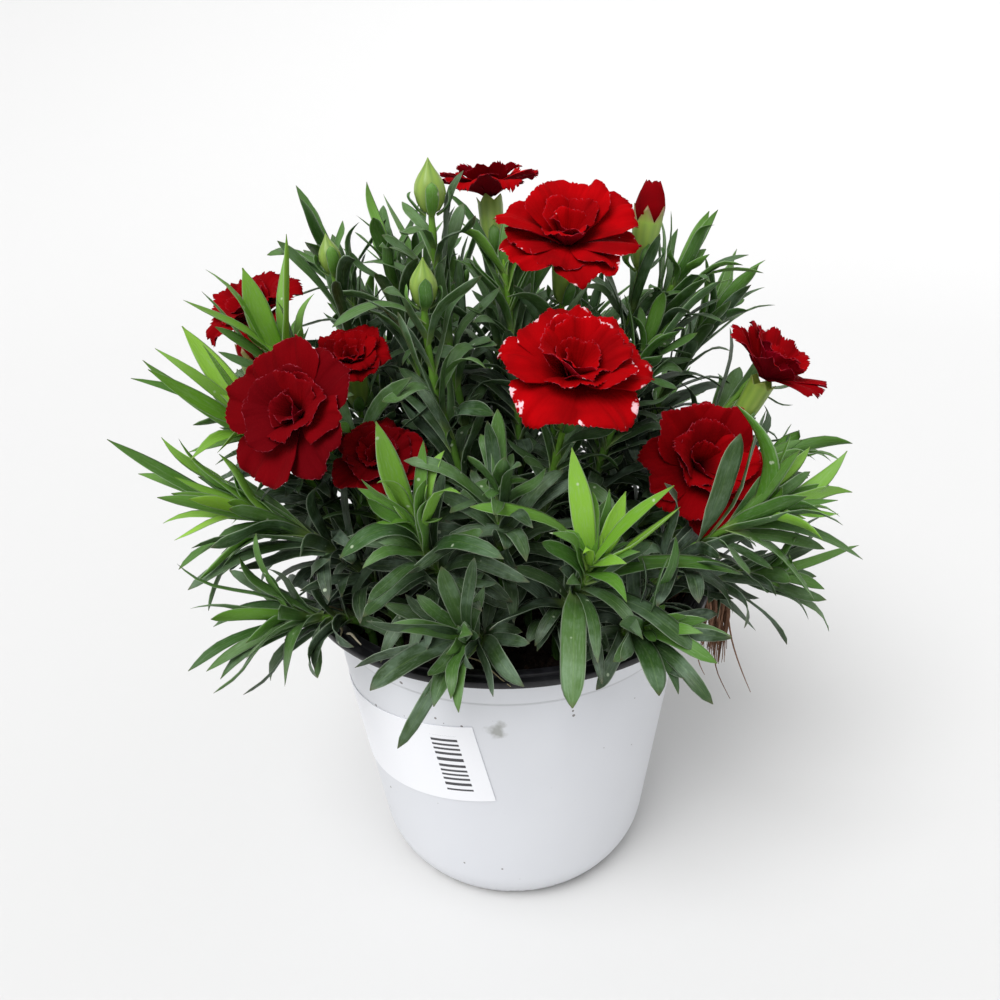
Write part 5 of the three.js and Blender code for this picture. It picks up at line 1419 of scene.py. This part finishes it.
def cutter_mesh():
    """Drill bodies for the drainage holes and blocks for the foot's notches, as one mesh."""
    loose = bmesh.new()
    foot = body_radius(0)
    middle = (PAD_RADIUS + foot - FOOT_WIDTH) / 2
    for k in range(DRAIN_HOLES):
        turn = 2 * math.pi * (k + 0.5) / DRAIN_HOLES
        made = bmesh.ops.create_cone(loose, cap_ends=True, segments=24, radius1=DRAIN_RADIUS * MM,
                                     radius2=DRAIN_RADIUS * MM, depth=DRILL_LENGTH * MM)
        shift = (middle * math.cos(turn) * MM, middle * math.sin(turn) * MM, CHANNEL_HEIGHT * MM)
        bmesh.ops.translate(loose, verts=made["verts"], vec=shift)
    for k in range(NOTCHES):
        turn = math.radians(-90 + NOTCH_TURN + 360 * k / NOTCHES)
        made = bmesh.ops.create_cube(loose, size=1)
        bmesh.ops.scale(loose, verts=made["verts"],
                        vec=(NOTCH_LENGTH * MM, NOTCH_WIDTH * MM, (2 * CHANNEL_HEIGHT - 0.8) * MM))
        bmesh.ops.translate(loose, verts=made["verts"], vec=((foot - 1) * MM, 0, 0))
        bmesh.ops.rotate(loose, verts=made["verts"], cent=(0, 0, 0), matrix=Matrix.Rotation(turn, 3, "Z"))
    mesh = bpy.data.meshes.new("cutter")
    loose.to_mesh(mesh)
    loose.free()
    return mesh


def cut(mesh, tool):
    """Cuts one closed mesh with another."""
    body = bpy.data.objects.new("body", mesh)
    knife = bpy.data.objects.new("knife", tool)
    for one in (body, knife):
        bpy.context.scene.collection.objects.link(one)
    modifier = body.modifiers.new("cut", "BOOLEAN")
    modifier.object, modifier.operation, modifier.solver = knife, "DIFFERENCE", "EXACT"
    graph = bpy.context.evaluated_depsgraph_get()
    made = bpy.data.meshes.new_from_object(body.evaluated_get(graph), depsgraph=graph)
    bpy.data.objects.remove(body)
    bpy.data.objects.remove(knife)
    return made


pot = cut(lathe("pot_blank", pot_profile(), POT_SIDES, [white_plastic(), black_plastic()]), cutter_mesh())
pot.shade_smooth()
pot.set_sharp_from_angle(angle=math.radians(32))
place_piece("pot_fine", pot, "pot", "pot")
print("pot faces:", len(pot.polygons))

# %% [markdown]
# ## Soil
# Peat compost is a dark mass of crumbs and fibres. The solid under them keeps its place, and a node tree
# strews crumbs over its top: points on the faces that look up, one small stone shape on each, turned and
# scaled at random from a fixed seed.

# %% Peat


def peat():
    skin, tree = new_material("moist_peat_compost")
    place = add(tree, "ShaderNodeTexCoord").outputs["Object"]
    grain = add(tree, "ShaderNodeTexNoise", None,
                {"Vector": place, "Scale": 1 / (1.5 * MM), "Detail": 6.0, "Roughness": 0.7})
    shade = add(tree, "ShaderNodeAttribute", {"attribute_name": "shade"}).outputs["Fac"]
    over = colour("15100d")
    for share, hue in ((shade, "3b2a1e"), (grain, "2b2019")):
        over = add(tree, "ShaderNodeMix", {"data_type": "RGBA"},
                   {0: share, 6: over, 7: colour(hue)}).outputs[2]
    bump = add(tree, "ShaderNodeBump", None, {"Strength": 0.6, "Distance": 0.5 * MM, "Height": grain})
    shader = add(tree, "ShaderNodeBsdfPrincipled", None,
                 {"Base Color": over, "Roughness": 0.95, "Specular IOR Level": 0.2, "Normal": bump})
    add(tree, "ShaderNodeOutputMaterial", None, {"Surface": shader})
    return skin


PEAT = peat()
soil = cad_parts["soil"]
for skin_slot in soil.material_slots:
    skin_slot.link = "OBJECT"
    skin_slot.material = PEAT


def crumb_tree():
    tree, given = new_tree("strewn_crumbs", {
        "Per Square Metre": "Float", "Smallest": "Float", "Largest": "Float", "Skin": "Material"})
    normal = add(tree, "GeometryNodeInputNormal")
    parts = add(tree, "ShaderNodeSeparateXYZ", None, {0: normal})
    upward = add(tree, "ShaderNodeMath", {"operation": "GREATER_THAN"}, {0: parts.outputs[2], 1: 0.6})
    spots = add(tree, "GeometryNodeDistributePointsOnFaces", None,
                {"Mesh": given.outputs["Geometry"], "Selection": upward,
                 "Density": given.outputs["Per Square Metre"], "Seed": 4})
    ball = add(tree, "GeometryNodeMeshIcoSphere", None, {"Radius": 1.0, "Subdivisions": 1})
    place = add(tree, "GeometryNodeInputPosition")
    lumps = add(tree, "ShaderNodeTexNoise", None, {"Vector": place, "Scale": 1.3})
    lump = add(tree, "ShaderNodeVectorMath", {"operation": "MULTIPLY"},
               {0: lumps.outputs["Color"], 1: (1.5, 1.0, 0.7)})
    stone = add(tree, "GeometryNodeSetPosition", None, {"Geometry": ball, "Offset": lump})
    turn = add(tree, "FunctionNodeRandomValue", {"data_type": "FLOAT_VECTOR"},
               {0: (0, 0, 0), 1: (6.3, 6.3, 6.3), "Seed": 1})
    size = add(tree, "FunctionNodeRandomValue", {"data_type": "FLOAT"},
               {2: given.outputs["Smallest"], 3: given.outputs["Largest"], "Seed": 2})
    strewn = add(tree, "GeometryNodeInstanceOnPoints", None,
                 {"Points": spots, "Instance": stone, "Rotation": turn,
                  "Scale": size.outputs[1]})
    tone = add(tree, "FunctionNodeRandomValue", {"data_type": "FLOAT"}, {2: 0.0, 3: 1.0, "Seed": 3})
    toned = add(tree, "GeometryNodeStoreNamedAttribute", {"data_type": "FLOAT", "domain": "INSTANCE"},
                {"Geometry": strewn, "Name": "shade", "Value": tone.outputs[1]})
    real = add(tree, "GeometryNodeRealizeInstances", None, {0: toned})
    skin = add(tree, "GeometryNodeSetMaterial", None, {"Geometry": real, "Material": given.outputs["Skin"]})
    add(tree, "NodeGroupOutput", None, {0: skin})
    return tree


CRUMBS = crumb_tree()
crumbs = run_tree(soil.data.copy(), CRUMBS, {
    "Per Square Metre": 300000.0, "Smallest": 0.3 * MM, "Largest": 1.3 * MM, "Skin": PEAT})
place_piece("soil_crumbs", crumbs, "soil")
print("crumb faces:", len(crumbs.polygons))

# %% [markdown]
# ## Roots
# A tangle of dry roots has grown over the rim on the right and hangs down outside. The thick strands follow
# the solid's lines, and thinner ones keep beside them by a seeded rule, with a few long hairs at the end. A
# few bits of straw lie on the rim. All of them are lines again, so the sweep tree makes them.

# %% Root strands
TANGLE_TURN = math.radians(-14)
STRANDS = 5
FINE_ROOTS = 150
ROOT_STATIONS = 16


def dry_root():
    skin, tree = new_material("dry_root_bark")
    place = add(tree, "ShaderNodeTexCoord").outputs["Object"]
    shade = add(tree, "ShaderNodeAttribute", {"attribute_name": "shade"}).outputs["Fac"]
    grain = add(tree, "ShaderNodeTexNoise", None, {"Vector": place, "Scale": 1 / (1.2 * MM), "Detail": 4.0})
    over = colour("3e261b")
    for share, hue in ((shade, "96705a"), (grain, "5d4330")):
        over = add(tree, "ShaderNodeMix", {"data_type": "RGBA"},
                   {0: share, 6: over, 7: colour(hue)}).outputs[2]
    shader = add(tree, "ShaderNodeBsdfPrincipled", None,
                 {"Base Color": over, "Roughness": 0.9, "Specular IOR Level": 0.25})
    add(tree, "ShaderNodeOutputMaterial", None, {"Surface": shader})
    return skin


def tangle_point(r, side, z):
    c, s = math.cos(TANGLE_TURN), math.sin(TANGLE_TURN)
    return vec(r * c - side * s, r * s + side * c, z)


def root_line(lines, knots, thick, draw, wander):
    """A strand through given knots, with a wander of its own."""
    places = np.linspace(0, len(knots) - 1, ROOT_STATIONS)
    table = np.array(knots)
    shade = draw()
    phases = [6.3 * draw() for _ in range(3)]
    side = vec(0.3, 0.9, 0.1)
    points = []
    for u in places:
        at = np.array([np.interp(u, range(len(knots)), table[:, axis]) for axis in range(3)])
        points.append(at + wander * np.array([math.sin(2.1 * u + phase) for phase in phases]))
    points = np.array(points)
    for _ in range(2):  # rounds the corners at the knots
        points[1:-1] = (points[:-2] + 2 * points[1:-1] + points[2:]) / 4
    for i, p in enumerate(points):
        along = unit(points[min(i + 1, ROOT_STATIONS - 1)] - points[max(i - 1, 0)])
        side = square_to(side, along)
        radius = np.interp(places[i], range(len(thick)), thick)
        add_station(lines, p, side, np.cross(along, side), i > 0, half=radius * MM, thick=radius * MM,
                    shade=shade)


# A few long roots hang lower than the rest.
LONG_ROOTS = [
    [(68, -16, 112.6), (72, -20, 108), (75, -21, 92), (80, -22, 79), (83.6, -22, 69)],
    [(66, -17, 112.6), (72, -18, 109), (70, -21, 92), (71, -22, 79), (76.5, -22, 67)],
    [(66, -20, 112.8), (70, -22, 108), (65, -24, 92), (64, -24, 86), (66.5, -24, 79)],
]
# Bits of straw lie by the rim: one long pale fibre over the front, short ones on the left.
STRAWS = [
    [(-13, -59, 113.6), (-9, -62, 113.6), (-5, -66, 113), (-0.7, -70.6, 111.4)],
    [(-57, -33, 116.6), (-55, -34, 115.4), (-52, -33, 114.6)],
    [(-55, -38, 114.4), (-53, -37, 114.8), (-50, -38, 114)],
    [(-50, -45, 113.6), (-48, -46, 113.8), (-45, -50, 113.2)],
    [(-53, -40, 113.4), (-52, -42, 113.6), (-52, -45, 113)],
]


def straw_mesh():
    draw = make_draw(SEEDS["straw"])
    lines = blank_lines()
    for number, knots in enumerate(STRAWS):
        thick = (0.22, 0.24, 0.2, 0.12) if number == 0 else (0.35, 0.45, 0.2)
        root_line(lines, [vec(*p) for p in knots], thick, draw, 0.25)
    straw, tree = new_material("dry_straw")
    shade = add(tree, "ShaderNodeAttribute", {"attribute_name": "shade"}).outputs["Fac"]
    hue = add(tree, "ShaderNodeMix", {"data_type": "RGBA"},
              {0: shade, 6: colour("8f8058"), 7: colour("b3ab95")})
    shader = add(tree, "ShaderNodeBsdfPrincipled", None, {"Base Color": hue.outputs[2], "Roughness": 0.7})
    add(tree, "ShaderNodeOutputMaterial", None, {"Surface": shader})
    return run_tree(line_mesh("straws", lines), SWEEP, {"Ring Points": 6, "Skin": straw})


def tangle_mesh():
    draw = make_draw(SEEDS["strands"])
    lines = blank_lines()
    knots_of = []
    for k in range(STRANDS):
        side = (k - (STRANDS - 1) / 2) * 2
        low = 70 + 26 * draw()
        sway = (draw() - 0.5) * 9
        out = 73 + 5 * draw()
        knots_of.append([
            tangle_point(57, side * 0.9, SOIL_Z + 2.6), tangle_point(62.5, side, POT_HEIGHT + 2.2),
            tangle_point(70, side, POT_HEIGHT + 2.4),
            tangle_point(out - 2.6, side + sway * 0.4, POT_HEIGHT - 8),
            tangle_point(out - 3, side + sway * 0.7, low + 6)])
    fine = make_draw(SEEDS["fine roots"])
    for knots in knots_of:
        root_line(lines, knots, (0.8, 0.9, 0.85, 0.6, 0.18), fine, 0.3)
    for k in range(FINE_ROOTS):
        home = knots_of[k % STRANDS]
        shift = vec(fine() - 0.5, fine() - 0.5, fine() - 0.5) * 4.6
        knots = [p + shift * np.array([1, 1, 0.35 if i < 3 else 1.4]) for i, p in enumerate(home)]
        knots = [vec(p[0], p[1], max(p[2], POT_HEIGHT + 0.6) if i in (1, 2) else p[2])
                 for i, p in enumerate(knots)]
        knots[4] = knots[3] + (knots[4] - knots[3]) * (0.3 + 0.75 * fine())
        root_line(lines, knots, (0.3, 0.42, 0.42, 0.36, 0.1), fine, 0.8)
    for knots in LONG_ROOTS:
        root_line(lines, [vec(*p) for p in knots], (0.4, 0.4, 0.3, 0.22, 0.1), fine, 0.5)
    return run_tree(line_mesh("tangle", lines), SWEEP, {"Ring Points": 6, "Skin": dry_root()})


tangle = tangle_mesh()
place_piece("root_tangle_fine", tangle, "roots", "root_tangle")
place_piece("straws", straw_mesh(), "roots")
print("root faces:", len(tangle.polygons))

# %% [markdown]
# ## The paper sticker
# A plain white sticker with a few printed bars is stuck on a little askew. It bends with the pot, so each
# of its points is laid on the wall by its distance from the sticker's corner. The bars are a pattern on the
# sticker's own UV map, whose unit is its width and height.

# %% Sticker
LABEL = dict(turn=-12, top=88, width=78, height=33, tilt=9.5, thickness=0.3)
# Its far upper corner lifts off: how fast, from which share of the width on, and down to where in mm.
PEEL, PEEL_START, PEEL_HEIGHT = 3, 0.86, 12
BAR_BLOCK = [(0, "GREATER_THAN", 0.08), (0, "LESS_THAN", 0.2), (1, "GREATER_THAN", 0.14),
             (1, "LESS_THAN", 0.88)]


def sticker_paper():
    skin, tree = new_material("coated_label_paper")
    uv = add(tree, "ShaderNodeUVMap", {"uv_map": "UVMap"})
    parts = add(tree, "ShaderNodeSeparateXYZ", None, {0: uv})
    # The bars are a wave up the sticker, and a slower wave makes them unlike in width.
    rows = add(tree, "ShaderNodeMath", {"operation": "MULTIPLY"}, {0: parts.outputs[1], 1: 17.0})
    wobble = add(tree, "ShaderNodeMath", {"operation": "SINE"}, {0: rows})
    stripe = add(tree, "ShaderNodeMath", {"operation": "MULTIPLY"}, {0: parts.outputs[1], 1: 92.0})
    shifted = add(tree, "ShaderNodeMath", {"operation": "MULTIPLY_ADD"}, {0: wobble, 1: 1.3, 2: stripe})
    bars = add(tree, "ShaderNodeMath", {"operation": "SINE"}, {0: shifted})
    ink = add(tree, "ShaderNodeMath", {"operation": "GREATER_THAN"}, {0: bars, 1: 0.1})
    # The bars keep to a block: which way, on which side of it, and where it ends.
    for way, side, end in BAR_BLOCK:
        within = add(tree, "ShaderNodeMath", {"operation": side}, {0: parts.outputs[way], 1: end})
        ink = add(tree, "ShaderNodeMath", {"operation": "MULTIPLY"}, {0: ink, 1: within})
    printed = add(tree, "ShaderNodeMix", {"data_type": "RGBA"},
                  {0: ink, 6: colour("e9eaee"), 7: colour("3a3a3e")})
    shader = add(tree, "ShaderNodeBsdfPrincipled", None, {"Base Color": printed.outputs[2], "Roughness": 0.5})
    add(tree, "ShaderNodeOutputMaterial", None, {"Surface": shader})
    return skin


def label_mesh():
    columns, rows = 48, 16
    lean, rise = math.sin(math.radians(LABEL["tilt"])), math.cos(math.radians(LABEL["tilt"]))
    points, uv = [], []
    for out in (LABEL["thickness"], 0.0):
        for k in range(rows + 1):
            for i in range(columns + 1):
                left, down = LABEL["width"] * i / columns, LABEL["height"] * k / rows
                peel = PEEL * max(0, left / LABEL["width"] - PEEL_START) * max(0, 1 - down / PEEL_HEIGHT)
                z = LABEL["top"] - left * lean - down * rise
                r = body_radius(z) + 0.1 + out + peel
                turn = math.radians(-90 + LABEL["turn"]) + (down * lean - left * rise) / r
                points.append((r * math.cos(turn) * MM, r * math.sin(turn) * MM, z * MM))
                uv.append((i / columns, 1 - k / rows))
    mesh = bpy.data.meshes.new("label")
    mesh.from_pydata(points, [], sheet_faces(rows + 1, columns + 1))
    layer = mesh.uv_layers.new(name="UVMap")
    for loop in mesh.loops:
        layer.data[loop.index].uv = uv[loop.vertex_index]
    mesh.materials.append(sticker_paper())
    turn_outwards(mesh)
    return mesh


place_piece("label_fine", label_mesh(), "label", "label")

# %% [markdown]
# ## Light, floor and camera
# A pale backdrop and a bright, even surround show the plant as in a photographer's tent. The floor bends up
# all round, far from the plant, so no edge of it is seen. One large soft lamp above and to the front left
# gives the leaves their form. The camera stands a little above the plant and looks slightly down on it.

# %% Stage
SWEEP_START = 0.9  # metres from the plant
SWEEP_RADIUS = 2.0
SWEEP_SIDES = 64
SWEEP_STEPS = 16
SWEEP_BEND = math.radians(80)  # how steep the backdrop's upper edge stands
SURROUND_STRENGTH = 0.7
LAMP_STRENGTH = 3.1
LAMP_WIDTH = math.radians(42)  # the angle that the lamp fills, seen from the plant
LAMP_TURN = (math.radians(28), math.radians(-22), 0)  # from the upper left, in front

scene = bpy.context.scene
floor_mesh = bpy.data.meshes.new("backdrop")
spots = []
for step in range(SWEEP_STEPS + 1):
    bend = SWEEP_BEND * step / SWEEP_STEPS
    reach = SWEEP_START + SWEEP_RADIUS * math.sin(bend)
    for k in range(SWEEP_SIDES):
        angle = 2 * math.pi * k / SWEEP_SIDES
        spots.append((reach * math.cos(angle), reach * math.sin(angle), SWEEP_RADIUS * (1 - math.cos(bend))))
strips = [strip[::-1] for strip in ring_faces(SWEEP_STEPS + 1, SWEEP_SIDES)]  # they face the plant
floor_mesh.from_pydata(spots, [], [tuple(range(SWEEP_SIDES))] + strips)
floor_mesh.shade_smooth()
floor = bpy.data.objects.new("backdrop", floor_mesh)
scene.collection.objects.link(floor)
floor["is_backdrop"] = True
paint, paint_tree = new_material("matt_white_backdrop")
paint_shader = add(paint_tree, "ShaderNodeBsdfPrincipled", None,
                   {"Base Color": colour("cecece"), "Roughness": 1.0, "Specular IOR Level": 0.0})
add(paint_tree, "ShaderNodeOutputMaterial", None, {"Surface": paint_shader})
floor_mesh.materials.append(paint)

world = bpy.data.worlds.new("bright_surround")
world.use_nodes = True
world.node_tree.nodes["Background"].inputs[0].default_value = colour("ffffff")
world.node_tree.nodes["Background"].inputs[1].default_value = SURROUND_STRENGTH
scene.world = world
scene.view_settings.view_transform = "Standard"

softbox = bpy.data.lights.new("overhead_softbox", "SUN")
softbox.energy = LAMP_STRENGTH
softbox.angle = LAMP_WIDTH
lamp = bpy.data.objects.new("overhead_softbox", softbox)
lamp.rotation_euler = LAMP_TURN
scene.collection.objects.link(lamp)

# %% Camera
CAMERA_TILT = math.radians(24.64)  # how far it looks down
CAMERA_ROLL = math.radians(-1.84)
CAMERA_DISTANCE = 290.7 * MM
CAMERA_AIM = (-1.92 * MM, 0, 136.18 * MM)
back = vec(0, -math.cos(CAMERA_TILT), math.sin(CAMERA_TILT))
level = vec(1, 0, 0)
upright = np.cross(back, level)
right = level * math.cos(CAMERA_ROLL) + upright * math.sin(CAMERA_ROLL)
camera_up = upright * math.cos(CAMERA_ROLL) - level * math.sin(CAMERA_ROLL)
camera = bpy.data.objects.new("camera", bpy.data.cameras.new("camera"))
camera.data.sensor_width = 36
camera.data.lens = 30.6
camera.data.clip_start = 0.01
place = vec(*CAMERA_AIM) + back * CAMERA_DISTANCE
camera.matrix_world = Matrix([[right[i], camera_up[i], back[i], place[i]] for i in range(3)] + [[0, 0, 0, 1]])
scene.collection.objects.link(camera)
scene.camera = camera

# %% The two boxes, and the end
low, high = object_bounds()
print("box of the looks in mm:", [round(x / MM, 1) for x in list(low) + list(high)])
print("box of the solids in mm:", [round(x / MM, 1) for x in list(solid_low) + list(solid_high)])
